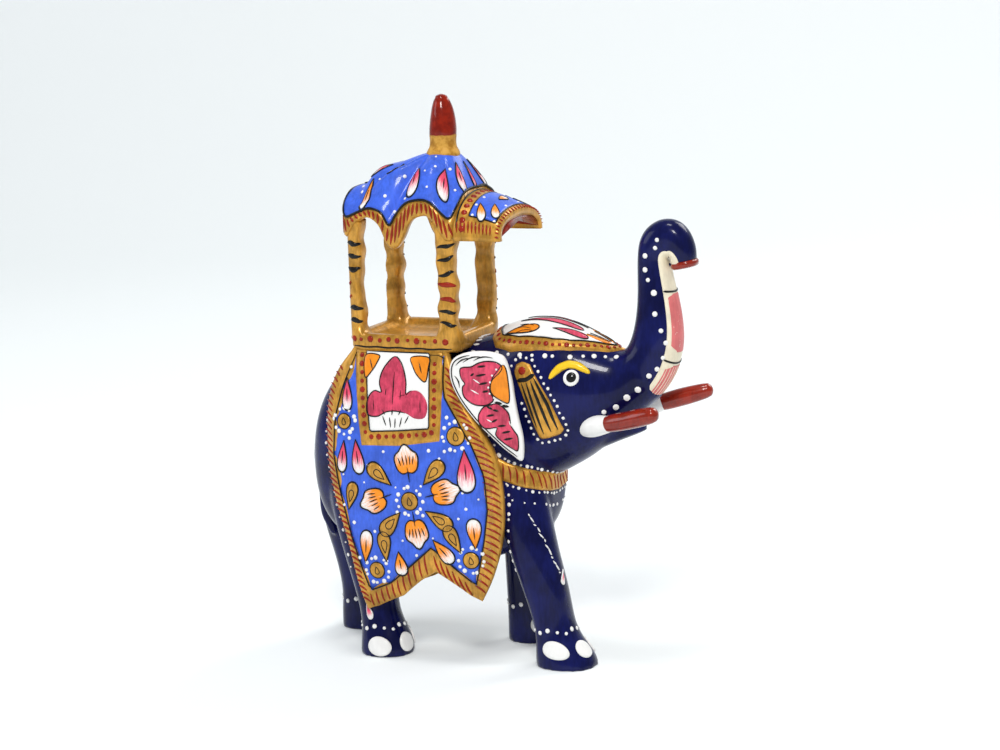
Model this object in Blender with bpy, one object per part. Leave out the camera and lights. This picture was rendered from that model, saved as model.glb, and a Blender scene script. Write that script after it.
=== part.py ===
"""Carved and painted wooden elephant carrying a howdah: a glued and pegged assembly of carved blocks.

Row frame: +X towards the head, +Y to the elephant's left, +Z up, feet standing on Z = 0.
Design frame: the same axes, but X = 0 on the finial's axis. The empty "figure" carries every piece from
the design frame to the row frame, whose origin is the middle of the whole object's footprint.
All sizes below are in millimetres in the design frame; MM turns them into metres.
"""

import math

import bmesh
import bpy
from mathutils import Matrix, Vector

MM = 0.001

# Driving dimensions
FRAME_SHIFT_X = -12.2
GLUE_GAP = 0.3
PEG_CLEARANCE = 0.3
HOLE_SPARE = 0.5

# Back, howdah and canopy levels
SEAT_Z = 83.5
BASE_BOTTOM_Z = SEAT_Z + GLUE_GAP
BASE_TOP_Z = 87.6
FLOOR_Z = 85.6
POST_TOP_Z = 112.2
BASE_REAR_X = -23.4
BASE_FRONT_X = 8.7
BASE_HALF_WIDTH = 14.8
POST_REAR_X = -20.5
POST_FRONT_X = 5.7
POST_Y = 12.0
POST_HALF_SIZE = 2.6
TENON_RADIUS = 1.4
TENON_LENGTH = 2.2
SHOULDER_DISH = 0.2

CANOPY_REAR_X = -24.0
CANOPY_FRONT_X = 9.0
CANOPY_HALF_WIDTH = 15.3
CANOPY_WALL = 2.4
CROWN_Z = 133.2
CROWN_RADIUS = 4.4
CAPITAL_HALF_SIZE = 2.73
CAPITAL_HEIGHT = 6.63
AWNING_REAR_X = CANOPY_FRONT_X + GLUE_GAP
AWNING_FRONT_X = 21.8
AWNING_WALL = 2.2
AWNING_HALF_WIDTH = 14.6

FINIAL_RADIUS = 4.3
FINIAL_PEG_RADIUS = 1.7
FINIAL_PEG_LENGTH = 4.0

# Depth and breadth of the block that cuts a joint face
HALF_SPACE_SIZE = (80.0, 60.0)

# Neck joint: the head block meets the body block on a plane through these two points of the side view
NECK_JOINT_TOP = (12.0, 86.9)
NECK_JOINT_FOOT = (31.5, 48.6)
TRUNK_JOINT_TOP = (49.4, 82.8)
TRUNK_JOINT_FOOT = (54.2, 66.7)

CLOTH_TOP_Z = 83.0
CLOTH_THICKNESS = 1.9
CLOTH_SEAT_REACH = 3.0

# Dowels as (radius, length), and how far down its joint each one stands
NECK_DOWEL = (3.0, 20.0)
NECK_DOWEL_SHARE = 0.5
TRUNK_DOWEL = (2.0, 14.0)
TRUNK_DOWEL_SHARE = 0.45
HOWDAH_DOWEL = (1.9, 12.0)
HOWDAH_DOWEL_XS = {"rear": -16.0, "front": 1.5}

SIDES = {"right": -1, "left": 1}

WOOD = (0.55, 0.37, 0.2, 1.0)
NAVY = (0.01, 0.01, 0.1, 1.0)
BLUE = (0.1, 0.16, 0.72, 1.0)
GOLD = (0.55, 0.33, 0.09, 1.0)
WHITE = (0.85, 0.83, 0.78, 1.0)
RED = (0.4, 0.04, 0.015, 1.0)


# ---------------------------------------------------------------- scene, materials and small helpers

def clear_scene():
    for obj in list(bpy.data.objects):
        bpy.data.objects.remove(obj)


def material(name, colour, roughness, metallic=0.0):
    made = bpy.data.materials.new(name)
    made.use_nodes = True
    shader = made.node_tree.nodes["Principled BSDF"]
    shader.inputs["Base Color"].default_value = colour
    shader.inputs["Roughness"].default_value = roughness
    shader.inputs["Metallic"].default_value = metallic
    return made


def new_object(name, bm, finish=None):
    """An object in the scene made of this bmesh, whose coordinates are in millimetres."""
    bmesh.ops.recalc_face_normals(bm, faces=bm.faces)
    if bm.calc_volume(signed=True) < 0:
        bmesh.ops.reverse_faces(bm, faces=bm.faces)
    bm.transform(Matrix.Scale(MM, 4))
    mesh = bpy.data.meshes.new(name)
    bm.to_mesh(mesh)
    bm.free()
    mesh.shade_smooth()
    obj = bpy.data.objects.new(name, mesh)
    bpy.context.scene.collection.objects.link(obj)
    obj.parent = figure
    if finish:
        mesh.materials.append(finish)
    return obj


def as_cutter(obj):
    obj.hide_render = True
    obj.display_type = "WIRE"
    return obj


def subdivide(obj, levels):
    modifier = obj.modifiers.new("subdivide", "SUBSURF")
    modifier.levels = levels
    modifier.render_levels = levels
    return obj


def boolean(obj, operation, *others):
    for other in others:
        modifier = obj.modifiers.new(f"{operation.lower()}_{other.name}", "BOOLEAN")
        modifier.operation = operation
        modifier.solver = "EXACT"
        modifier.object = as_cutter(other)
    return obj


def interpolate(x, points):
    """The value at x of the straight lines through points, a list of (x, value) in rising x."""
    if x <= points[0][0]:
        return points[0][1]
    for (x0, v0), (x1, v1) in zip(points, points[1:]):
        if x <= x1:
            return v0 + (v1 - v0) * (x - x0) / (x1 - x0)
    return points[-1][1]


# ---------------------------------------------------------------- lofts, boxes, pegs and plates

def ring(first, second, half_width, y=0.0, squareness=2.3):
    """A loft section: its ends in the side view (x, z), its half width along Y, its centre's Y, its exponent."""
    return first, second, half_width, y, squareness


def section_points(section, sides):
    """A superellipse: |a| ** n + |b| ** n = 1, spread over the section's plane."""
    (x0, z0), (x1, z1), half_width, y, squareness = section
    centre = Vector(((x0 + x1) / 2, y, (z0 + z1) / 2))
    along = Vector(((x0 - x1) / 2, 0.0, (z0 - z1) / 2))
    power = 2.0 / squareness
    for k in range(sides):
        angle = 2 * math.pi * (k + 0.5) / sides
        c, s = math.cos(angle), math.sin(angle)
        across = math.copysign(abs(c) ** power, c) * half_width
        yield centre + along * math.copysign(abs(s) ** power, s) + Vector((0.0, across, 0.0))


def loft(name, sections, sides=12, levels=1, finish=None):
    """A closed skin through the sections, smoothed by subdivision."""
    bm = bmesh.new()
    loops = []
    for section in sections:
        verts = [bm.verts.new(p) for p in section_points(section, sides)]
        loops.append([bm.edges.new((verts[k], verts[(k + 1) % sides])) for k in range(sides)])
    for first, second in zip(loops, loops[1:]):
        bmesh.ops.bridge_loops(bm, edges=first + second)
    for loop in (loops[0], loops[-1]):
        bmesh.ops.contextual_create(bm, geom=loop)
    return subdivide(new_object(name, bm, finish), levels)


def box(name, low, high, bevel=0.0, finish=None):
    bm = bmesh.new()
    size = Vector(high) - Vector(low)
    bmesh.ops.create_cube(bm, size=1.0, matrix=Matrix.Translation((Vector(high) + Vector(low)) / 2)
                          @ Matrix.Diagonal((*size, 1.0)))
    if bevel:
        bmesh.ops.bevel(bm, geom=bm.edges, offset=bevel, segments=2, profile=0.5, affect="EDGES")
    return new_object(name, bm, finish)


def peg(name, start, end, radius, finish=None, sides=16):
    """A plain round peg, or the drill that makes its hole."""
    start, end = Vector(start), Vector(end)
    turn = (end - start).to_track_quat("Z", "Y").to_matrix().to_4x4()
    bm = bmesh.new()
    bmesh.ops.create_cone(bm, cap_ends=True, segments=sides, radius1=radius, radius2=radius,
                          depth=(end - start).length, matrix=Matrix.Translation((start + end) / 2) @ turn)
    return new_object(name, bm, finish)


def half_space(name, top, foot, offset, forward):
    """A block that fills one side of the joint plane through two side-view points, moved by offset along it."""
    depth, reach = HALF_SPACE_SIZE
    low, high = Vector((foot[0], 0, foot[1])), Vector((top[0], 0, top[1]))
    up = (high - low).normalized()
    normal = Vector((up.z, 0, -up.x)) * (1 if forward else -1)
    origin = (low + high) / 2 + normal * (offset + depth / 2)
    turn = Matrix((normal, Vector((0, 1, 0)), up)).transposed().to_4x4()
    bm = bmesh.new()
    bmesh.ops.create_cube(bm, size=1.0, matrix=Matrix.Translation(origin) @ turn
                          @ Matrix.Diagonal((depth, reach, 2 * reach, 1.0)))
    return new_object(name, bm)


def joint_line(top, foot, share):
    """The point at this share of the way down a joint, and the joint's forward normal."""
    high, low = Vector((top[0], 0, top[1])), Vector((foot[0], 0, foot[1]))
    up = (high - low).normalized()
    return high.lerp(low, share), Vector((up.z, 0, -up.x))


def dowel_ends(top, foot, share, length):
    point, normal = joint_line(top, foot, share)
    return point - normal * length / 2, point + normal * length / 2


def neck_dowel_ends(spare=0.0):
    return dowel_ends(NECK_JOINT_TOP, NECK_JOINT_FOOT, NECK_DOWEL_SHARE, NECK_DOWEL[1] + 2 * spare)


def trunk_dowel_ends(spare=0.0):
    return dowel_ends(TRUNK_JOINT_TOP, TRUNK_JOINT_FOOT, TRUNK_DOWEL_SHARE, TRUNK_DOWEL[1] + 2 * spare)


def neck_hole(name):
    return peg(name, *neck_dowel_ends(HOLE_SPARE), NECK_DOWEL[0] + PEG_CLEARANCE)


def trunk_hole(name):
    return peg(name, *trunk_dowel_ends(HOLE_SPARE), TRUNK_DOWEL[0] + PEG_CLEARANCE)


# ---------------------------------------------------------------- the body block

TORSO_SECTIONS = [
    ring((-40.3, 59.0), (-40.5, 43.0), 5.0),
    ring((-37.8, 68.9), (-38.2, 33.9), 9.5),
    ring((-32.4, 76.7), (-33.4, 28.2), 12.6),
    ring((-23.7, 82.4), (-25.5, 25.9), 14.6),
    ring((-10.6, 84.4), (-13.0, 24.4), 15.8),
    ring((3.4, 84.8), (1.0, 23.8), 15.8),
    ring((14.3, 82.8), (13.0, 25.4), 14.6),
    ring((23.4, 72.5), (23.2, 29.5), 12.8),
    ring((28.9, 58.2), (28.5, 35.2), 8.6),
    ring((30.3, 51.2), (30.1, 41.2), 4.5),
]

NECK_SECTIONS = [
    ring((1.4, 83.4), (10.0, 49.0), 11.0),
    ring((6.5, 85.8), (20.9, 47.1), 12.0),
    ring((12.0, 86.9), (31.0, 48.7), 12.4),
    ring((19.6, 89.1), (38.2, 52.9), 12.4),
]

# Each leg runs from inside the torso to below the floor, where it is cut flat:
# (z, rear x, front x, y, half width)
LEG_SECTIONS = {
    "front_right": [
        (-7.0, 26.8, 41.8, -9.6, 6.8), (-1.5, 26.8, 42.6, -9.6, 7.3),
        (3.0, 26.5, 42.0, -9.6, 7.2), (9.1, 26.4, 38.0, -9.6, 6.0),
        (19.2, 23.4, 36.6, -9.8, 6.2), (29.3, 19.8, 33.6, -9.6, 6.6),
        (42.5, 14.7, 30.7, -8.0, 6.6), (56.6, 11.3, 27.3, -6.0, 5.0),
    ],
    "front_left": [
        (-6.3, 8.8, 22.3, 12.0, 6.3), (-0.8, 8.6, 23.0, 12.0, 6.8),
        (3.8, 8.6, 22.6, 12.0, 6.7), (9.8, 9.0, 21.0, 11.4, 5.9),
        (19.8, 9.0, 21.8, 10.6, 6.2), (29.7, 9.2, 23.8, 9.8, 6.6),
        (42.7, 8.7, 25.7, 8.0, 6.6), (56.7, 8.3, 26.3, 6.0, 5.0),
    ],
    "rear_right": [
        (-5.0, -24.4, -10.2, -11.6, 6.6), (0.5, -24.4, -9.4, -11.6, 7.0),
        (5.0, -24.4, -9.8, -11.4, 6.8), (11.1, -24.2, -12.4, -10.8, 5.7),
        (21.2, -27.7, -14.2, -10.0, 6.2), (31.3, -31.2, -14.2, -9.4, 6.8),
        (44.4, -35.2, -14.7, -8.0, 7.0), (58.4, -34.7, -15.7, -6.0, 5.0),
    ],
    "rear_left": [
        (-4.2, -42.2, -28.6, 12.2, 6.3), (1.3, -42.4, -27.8, 12.2, 6.8),
        (5.8, -42.2, -28.2, 12.0, 6.6), (11.8, -41.4, -28.7, 11.4, 5.8),
        (21.7, -43.4, -27.4, 10.8, 6.3), (31.7, -46.8, -24.8, 10.0, 7.2),
        (44.6, -46.4, -19.8, 8.6, 7.4), (58.5, -41.0, -17.7, 5.8, 5.4),
    ],
}


def leg(name):
    sections = [ring((front, z), (rear, z), half_width, y, 2.5)
                for z, rear, front, y, half_width in LEG_SECTIONS[name]]
    return loft(f"leg_{name}", sections, sides=8)


def make_body():
    """Torso, neck and four legs from one block, with the seats for the howdah, the side cloths and the head."""
    body = loft("body", TORSO_SECTIONS, sides=12, finish=navy)
    boolean(body, "UNION", loft("neck_mass", NECK_SECTIONS, sides=10), tube("tail", TAIL_PATH, sides=8),
            *[leg(name) for name in LEG_SECTIONS])
    boolean(body, "DIFFERENCE",
            box("floor_cut", (-60, -30, -20), (60, 30, 0)),
            box("howdah_seat", (BASE_REAR_X - 0.5, -18, SEAT_Z), (BASE_FRONT_X + 0.4, 18, SEAT_Z + 20)),
            half_space("head_side_cut", NECK_JOINT_TOP, NECK_JOINT_FOOT, 0.0, True),
            *[cloth_panel(f"cloth_seat_{side}", sign, grow=0.5) for side, sign in SIDES.items()],
            *[ear_plate(f"ear_seat_body_{side}", sign, grow=GLUE_GAP) for side, sign in SIDES.items()],
            neck_hole("neck_drill_body"),
            *[peg(f"howdah_drill_body_{end}", (x, 0, SEAT_Z - HOWDAH_DOWEL[1] / 2 - HOLE_SPARE),
                  (x, 0, SEAT_Z + 5), HOWDAH_DOWEL[0] + PEG_CLEARANCE) for end, x in HOWDAH_DOWEL_XS.items()])
    return body


# ---------------------------------------------------------------- the side cloths

CLOTH_REAR_EDGE = [(12.6, -17.5), (20.2, -21.2), (31.9, -26.2), (45.6, -29.2), (56.6, -29.3), (64.5, -28.2),
                   (75.4, -25.6), (83.4, -23.1)]
CLOTH_FRONT_EDGE = [(11.6, 7.5), (17.4, 11.6), (29.6, 19.4), (40.6, 21.2), (54.6, 19.4), (63.8, 15.2),
                    (72.0, 11.1), (82.1, 7.7)]
CLOTH_HEM = [(0.0, 12.6), (0.12, 14.4), (0.6, 25.1), (1.0, 17.4)]
CLOTH_WIDTH = [(12.0, 17.8), (22.0, 19.0), (35.0, 19.4), (52.0, 19.3), (66.0, 18.2), (76.0, 16.4), (83.0, 14.6)]


def cloth_point(u, v):
    """Outer surface of a side cloth: u from its rear edge to its front edge, v from the seat down to the hem."""
    z = CLOTH_TOP_Z + (interpolate(u, CLOTH_HEM) - CLOTH_TOP_Z) * v
    rear, front = interpolate(z, CLOTH_REAR_EDGE), interpolate(z, CLOTH_FRONT_EDGE)
    x = rear + (front - rear) * u
    along = (x + 5.0) / 26.0
    return x, interpolate(z, CLOTH_WIDTH) - 2.6 * abs(along) ** 3, z


def cloth_panel(name, sign, grow=0.0, finish=None):
    """A carved cloth panel, or with grow the wider and deeper cutter that makes its seat."""
    columns, rows = 12, 12
    bm = bmesh.new()
    bmesh.ops.create_grid(bm, x_segments=columns, y_segments=rows, size=0.5)
    for vert in bm.verts:
        u, v = vert.co.x + 0.5, 0.5 - vert.co.y
        x, y, z = cloth_point(u, v)
        x += grow * (2 * u - 1)
        z += grow * (1 - 2 * v)
        vert.co = (x, sign * y, z)
    panel = new_object(name, bm, finish)
    outward = sum((sign * p.normal.y for p in panel.data.polygons))
    modifier = panel.modifiers.new("thickness", "SOLIDIFY")
    modifier.thickness = (CLOTH_THICKNESS + (GLUE_GAP + CLOTH_SEAT_REACH if grow else 0.0)) * MM
    modifier.offset = -1.0 if outward > 0 else 1.0
    if grow:
        share = (CLOTH_THICKNESS + GLUE_GAP) / (CLOTH_THICKNESS + GLUE_GAP + CLOTH_SEAT_REACH)
        modifier.offset = (1 - 2 * share) * (1 if outward > 0 else -1)
    return panel


# ---------------------------------------------------------------- head, ears, trunk and tusks

HEAD_SECTIONS = [
    ring((6.4, 83.2), (25.9, 45.4), 12.2),
    ring(NECK_JOINT_TOP, NECK_JOINT_FOOT, 12.6),
    ring((20.6, 90.8), (35.6, 51.2), 13.2),
    ring((30.7, 91.8), (40.2, 53.8), 13.0),
    ring((39.6, 88.0), (44.9, 57.8), 11.4),
    ring((45.5, 85.0), (50.0, 61.9), 9.4),
    ring((49.4, 83.0), (54.2, 66.2), 7.9),
    ring((52.0, 85.3), (61.5, 72.4), 7.2),
]

LIP_SECTIONS = [
    ring((38.5, 61.9), (39.2, 54.8), 5.0),
    ring((46.7, 65.0), (46.9, 58.5), 4.6),
    ring((52.7, 64.9), (53.0, 60.9), 3.4),
    ring((55.8, 64.2), (55.9, 62.4), 1.8),
]

TRUNK_SECTIONS = [
    ring((45.9, 82.6), (50.6, 63.4), 8.2),
    ring((49.4, 83.0), (54.2, 66.2), 7.9),
    ring((51.5, 85.8), (62.5, 73.4), 7.2),
    ring((52.9, 90.3), (66.8, 83.2), 6.6),
    ring((53.9, 96.3), (66.2, 92.8), 5.8),
    ring((54.1, 102.3), (64.5, 100.5), 5.1),
    ring((54.2, 107.5), (63.3, 105.7), 4.8),
    ring((54.9, 114.4), (62.8, 107.5), 4.8),
    ring((60.4, 119.0), (63.3, 107.9), 4.8),
    ring((67.2, 118.4), (63.8, 107.9), 4.6),
    ring((70.6, 112.4), (63.9, 107.3), 4.0),
    ring((70.0, 107.2), (63.5, 106.7), 3.2),
]

EAR_OUTLINE = [(24.8, 81.9), (19.4, 84.0), (13.0, 83.3), (9.4, 79.6), (10.0, 74.4), (13.2, 68.9), (17.2, 63.5),
               (22.4, 59.1), (26.9, 55.9), (28.1, 60.3), (28.0, 68.3), (26.7, 76.3)]
EAR_THICKNESS = 1.8
EAR_INNER_Y = 13.5
EAR_LEAN = 0.15
EAR_SEAT_REACH = 6
EAR_HINGE_X = 31.0
EAR_EDGE = 0.45

TUSK_PATH = [((40.1, 7.4, 63.2), 1.9), ((44.2, 8.9, 64.3), 1.9), ((45.2, 9.3, 64.6), 3.1),
             ((49.2, 10.6, 65.5), 3.0), ((54.7, 12.1, 67.0), 2.7), ((60.8, 13.6, 68.8), 2.6),
             ((65.3, 14.6, 70.0), 2.2), ((67.1, 15.0, 70.6), 1.2)]
TAIL_PATH = [((-36.4, 0.6, 64.9), 1.4), ((-39.2, 1.0, 61.0), 1.6), ((-41.5, 1.6, 54.1), 1.5),
             ((-42.3, 2.4, 47.1), 1.4), ((-42.0, 3.2, 40.1), 1.3), ((-41.3, 3.6, 34.0), 1.7),
             ((-39.7, 3.8, 28.5), 0.9)]


def ear_plate(name, sign, grow=0.0, finish=None):
    """A flat leaf-shaped ear whose rear edge leans away from the neck; with grow, the cutter for its seat."""
    centre = Vector((sum(x for x, z in EAR_OUTLINE), sum(z for x, z in EAR_OUTLINE))) / len(EAR_OUTLINE)
    bm = bmesh.new()
    inner, outer = [], []
    for x, z in EAR_OUTLINE:
        point = Vector((x, z))
        point += (point - centre).normalized() * grow
        lean = EAR_LEAN * (EAR_HINGE_X - x)
        inner.append(bm.verts.new((point.x, sign * (EAR_INNER_Y + lean - grow), point.y)))
        outer_y = EAR_INNER_Y + lean + EAR_THICKNESS + grow * EAR_SEAT_REACH
        outer.append(bm.verts.new((point.x, sign * outer_y, point.y)))
    bm.faces.new(inner)
    bm.faces.new(outer)
    for k in range(len(inner)):
        n = (k + 1) % len(inner)
        bm.faces.new((inner[k], inner[n], outer[n], outer[k]))
    if not grow:
        bmesh.ops.bevel(bm, geom=bm.edges, offset=EAR_EDGE, segments=1, affect="EDGES")
    return new_object(name, bm, finish)


def tube(name, path, sign=1, sides=10, finish=None):
    """A round bar of changing radius through (point, radius) stations, with flat ends."""
    bm = bmesh.new()
    points = [Vector((x, sign * y, z)) for (x, y, z), _ in path]
    loops = []
    for k, (_, radius) in enumerate(path):
        ahead = points[min(k + 1, len(points) - 1)] - points[max(k - 1, 0)]
        side = ahead.cross(Vector((0, 0, 1)))
        side = (side if side.length > 1e-6 else ahead.cross(Vector((0, 1, 0)))).normalized()
        rise = side.cross(ahead).normalized()
        verts = [bm.verts.new(points[k] + (side * math.cos(a) + rise * math.sin(a)) * radius)
                 for a in (2 * math.pi * n / sides for n in range(sides))]
        loops.append([bm.edges.new((verts[n], verts[(n + 1) % sides])) for n in range(sides)])
    for first, second in zip(loops, loops[1:]):
        bmesh.ops.bridge_loops(bm, edges=first + second)
    for loop in (loops[0], loops[-1]):
        bmesh.ops.contextual_create(bm, geom=loop)
    return new_object(name, bm, finish)


def widened(path, extra, stations):
    return [(point, radius + extra) for point, radius in path[:stations]]


def make_head():
    head = loft("head", HEAD_SECTIONS, sides=12, finish=navy)
    boolean(head, "UNION", loft("lower_lip", LIP_SECTIONS, sides=8))
    boolean(head, "DIFFERENCE",
            half_space("body_side_cut", NECK_JOINT_TOP, NECK_JOINT_FOOT, -GLUE_GAP, False),
            half_space("trunk_side_cut", TRUNK_JOINT_TOP, TRUNK_JOINT_FOOT, 0.0, True),
            *[ear_plate(f"ear_seat_head_{side}", sign, grow=GLUE_GAP) for side, sign in SIDES.items()],
            *[tube(f"tusk_drill_{side}", widened(TUSK_PATH, PEG_CLEARANCE, 4), sign)
              for side, sign in SIDES.items()],
            neck_hole("neck_drill_head"),
            trunk_hole("trunk_drill_head"))
    return head


def make_trunk():
    trunk = loft("trunk", TRUNK_SECTIONS, sides=8, finish=navy)
    boolean(trunk, "DIFFERENCE",
            half_space("head_face_cut", TRUNK_JOINT_TOP, TRUNK_JOINT_FOOT, -GLUE_GAP, False),
            trunk_hole("trunk_drill"))
    return trunk


# ---------------------------------------------------------------- howdah

def make_howdah_base():
    """The tray: a low frame with a sunk floor, four mortises and two dowel holes."""
    base = box("howdah_base", (BASE_REAR_X, -BASE_HALF_WIDTH, BASE_BOTTOM_Z),
               (BASE_FRONT_X, BASE_HALF_WIDTH, BASE_TOP_Z), bevel=0.9, finish=gold)
    inset = 2 * POST_HALF_SIZE
    boolean(base, "DIFFERENCE",
            box("howdah_floor_cut", (BASE_REAR_X + inset, -BASE_HALF_WIDTH + inset, FLOOR_Z),
                (BASE_FRONT_X - inset, BASE_HALF_WIDTH - inset, BASE_TOP_Z + 5)),
            *[peg(f"mortise_{name}", (x, y, BASE_TOP_Z - TENON_LENGTH - PEG_CLEARANCE), (x, y, BASE_TOP_Z + 3),
                  TENON_RADIUS + PEG_CLEARANCE, sides=12) for name, x, y in post_places()],
            *[peg(f"howdah_drill_base_{end}", (x, 0, BASE_BOTTOM_Z - 3), (x, 0, FLOOR_Z - 0.6),
                  HOWDAH_DOWEL[0] + PEG_CLEARANCE) for end, x in HOWDAH_DOWEL_XS.items()])
    return base


def post_places():
    for end, x in (("rear", POST_REAR_X), ("front", POST_FRONT_X)):
        for side, sign in SIDES.items():
            yield f"{end}_{side}", x, sign * POST_Y


# Half sizes of a post up its height, as shares of POST_HALF_SIZE: swollen foot, whittled waist, swollen head
POST_SHAPE = [(0.0, 1.12), (0.12, 1.0), (0.45, 1.08), (0.7, 0.94), (0.88, 1.04), (1.0, 1.14)]


def make_post(name, x, y):
    """A whittled square post with a round tenon at each end."""
    low, high = BASE_TOP_Z + GLUE_GAP, POST_TOP_Z - GLUE_GAP
    bm = bmesh.new()
    loops = []

    def add_loop(z, half, squareness):
        section = ring((x + half, z), (x - half, z), half, y, squareness)
        verts = [bm.verts.new(p) for p in section_points(section, 12)]
        loops.append([bm.edges.new((verts[k], verts[(k + 1) % 12])) for k in range(12)])

    add_loop(low - TENON_LENGTH, TENON_RADIUS, 2.0)
    add_loop(low + SHOULDER_DISH, TENON_RADIUS, 2.0)
    for share, scale in POST_SHAPE:
        add_loop(low + (high - low) * share, POST_HALF_SIZE * scale, 3.4)
    add_loop(high - SHOULDER_DISH, TENON_RADIUS, 2.0)
    add_loop(high + TENON_LENGTH, TENON_RADIUS, 2.0)
    for first, second in zip(loops, loops[1:]):
        bmesh.ops.bridge_loops(bm, edges=first + second)
    for loop in (loops[0], loops[-1]):
        bmesh.ops.contextual_create(bm, geom=loop)
    return new_object(f"howdah_post_{name}", bm, gold)


# Along the eave from the rear edge to the front edge: the height of the roof's edge and of the valance's foot
EAVE_TOP = [(-24.0, 119.2), (-21.2, 121.0), (-17.8, 121.7), (-14.0, 120.6), (-10.9, 118.0), (-7.2, 122.2),
            (-2.2, 124.0), (3.4, 121.8), (9.0, 116.9)]
EAVE_FOOT = [(-24.0, 113.0), (-21.2, 116.4), (-17.8, 118.0), (-14.0, 116.2), (-10.7, 110.4), (-7.0, 116.2),
             (-2.2, 120.0), (3.0, 117.2), (9.0, 112.6)]
END_TOP = [(0.0, 125.4), (7.0, 124.2), (11.4, 122.0), (15.3, 118.4)]
END_FOOT = [(0.0, 120.0), (7.0, 118.4), (15.3, 113.0)]


def canopy_rim(k, count, inset=0.0):
    """A point of the canopy's rectangular rim and its heights: (x, y, roof edge z, valance foot z)."""
    width, rear, front = CANOPY_HALF_WIDTH - inset, CANOPY_REAR_X + inset, CANOPY_FRONT_X - inset
    corners = [(rear, -width), (front, -width), (front, width), (rear, width)]
    side, step = divmod(k * 4 / count, 1)
    (x0, y0), (x1, y1) = corners[int(side) % 4], corners[(int(side) + 1) % 4]
    x, y = x0 + (x1 - x0) * step, y0 + (y1 - y0) * step
    top, foot, key = (EAVE_TOP, EAVE_FOOT, x) if int(side) % 2 == 0 else (END_TOP, END_FOOT, abs(y))
    return x, y, interpolate(key, top), interpolate(key, foot)


def canopy_ring(bm, share, count, inset=0.0):
    """One ring of the roof's skin, from the crown (share 0) to the eave (share 1); inset gives the inner skin."""
    verts = []
    for k in range(count):
        x, y, edge, _ = canopy_rim(k, count, inset)
        reach = math.hypot(x, y)
        start_x, start_y = x / reach * CROWN_RADIUS, y / reach * CROWN_RADIUS
        z = CROWN_Z + (edge - CROWN_Z) * share ** 1.25 + 1.4 * math.sin(math.pi * share) - inset
        verts.append(bm.verts.new((start_x + (x - start_x) * share, start_y + (y - start_y) * share, z)))
    return verts


def foot_ring(bm, count, inset=0.0):
    return [bm.verts.new((x, y, foot)) for x, y, _, foot in (canopy_rim(k, count, inset) for k in range(count))]


def make_canopy():
    """A thin-walled roof: a dome falling to a scalloped eave and a short upright valance."""
    count = 48
    shares = (0.0, 0.3, 0.65, 1.0)
    bm = bmesh.new()
    rings = [canopy_ring(bm, share, count) for share in shares]
    rings += [foot_ring(bm, count), foot_ring(bm, count, CANOPY_WALL)]
    rings += [canopy_ring(bm, share, count, CANOPY_WALL) for share in reversed(shares)]
    for upper, lower in zip(rings, rings[1:]):
        for k in range(count):
            n = (k + 1) % count
            bm.faces.new((upper[k], lower[k], lower[n], upper[n]))
    bm.faces.new(rings[0])
    bm.faces.new(rings[-1])
    canopy = new_object("canopy", bm, blue)
    boolean(canopy, "UNION",
            *[box(f"capital_{name}", (x - CAPITAL_HALF_SIZE, y - CAPITAL_HALF_SIZE, POST_TOP_Z),
                  (x + CAPITAL_HALF_SIZE, y + CAPITAL_HALF_SIZE, POST_TOP_Z + CAPITAL_HEIGHT))
              for name, x, y in post_places()])
    boolean(canopy, "DIFFERENCE",
            *[peg(f"capital_mortise_{name}", (x, y, POST_TOP_Z - 3), (x, y, POST_TOP_Z + TENON_LENGTH + PEG_CLEARANCE),
                  TENON_RADIUS + PEG_CLEARANCE, sides=12) for name, x, y in post_places()],
            peg("finial_drill", (0, 0, CROWN_Z - 8), (0, 0, CROWN_Z + 3), FINIAL_PEG_RADIUS + PEG_CLEARANCE))
    return canopy


def awning_point(u, v, inset=0.0):
    """A skin of the front awning: u from the canopy to the front edge, v across from right to left."""
    x = AWNING_REAR_X + (AWNING_FRONT_X - AWNING_REAR_X) * u
    bend = (2 * v - 1) * math.pi / 2
    side, crown = 113.0, 124.6 - 4.6 * u - inset
    z = side + (crown - side) * max(math.cos(bend), 0.0) ** 0.75
    return x, (AWNING_HALF_WIDTH - inset) * math.sin(bend), z


def make_awning():
    """A small arched porch roof of even wall, glued to the canopy's front."""
    columns, rows = 4, 16
    bm = bmesh.new()
    outer, inner = ([[bm.verts.new(awning_point(c / columns, r / rows, inset)) for r in range(rows + 1)]
                     for c in range(columns + 1)] for inset in (0.0, AWNING_WALL))
    for skin in (outer, inner):
        for first, second in zip(skin, skin[1:]):
            for r in range(rows):
                bm.faces.new((first[r], first[r + 1], second[r + 1], second[r]))
    for c in (0, columns):
        for r in range(rows):
            bm.faces.new((outer[c][r], outer[c][r + 1], inner[c][r + 1], inner[c][r]))
    for r in (0, rows):
        for c in range(columns):
            bm.faces.new((outer[c][r], outer[c + 1][r], inner[c + 1][r], inner[c][r]))
    return new_object("canopy_awning", bm, blue)


FINIAL_PROFILE = [(0.0, 150.0), (0.9, 149.7), (1.9, 148.4), (2.9, 145.6), (3.5, 142.6), (3.7, 139.6), (3.55, 137.0),
                  (3.8, 135.4), (FINIAL_RADIUS, CROWN_Z + GLUE_GAP), (FINIAL_PEG_RADIUS, CROWN_Z + GLUE_GAP),
                  (FINIAL_PEG_RADIUS, CROWN_Z + GLUE_GAP - FINIAL_PEG_LENGTH),
                  (0.0, CROWN_Z + GLUE_GAP - FINIAL_PEG_LENGTH)]


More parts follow.
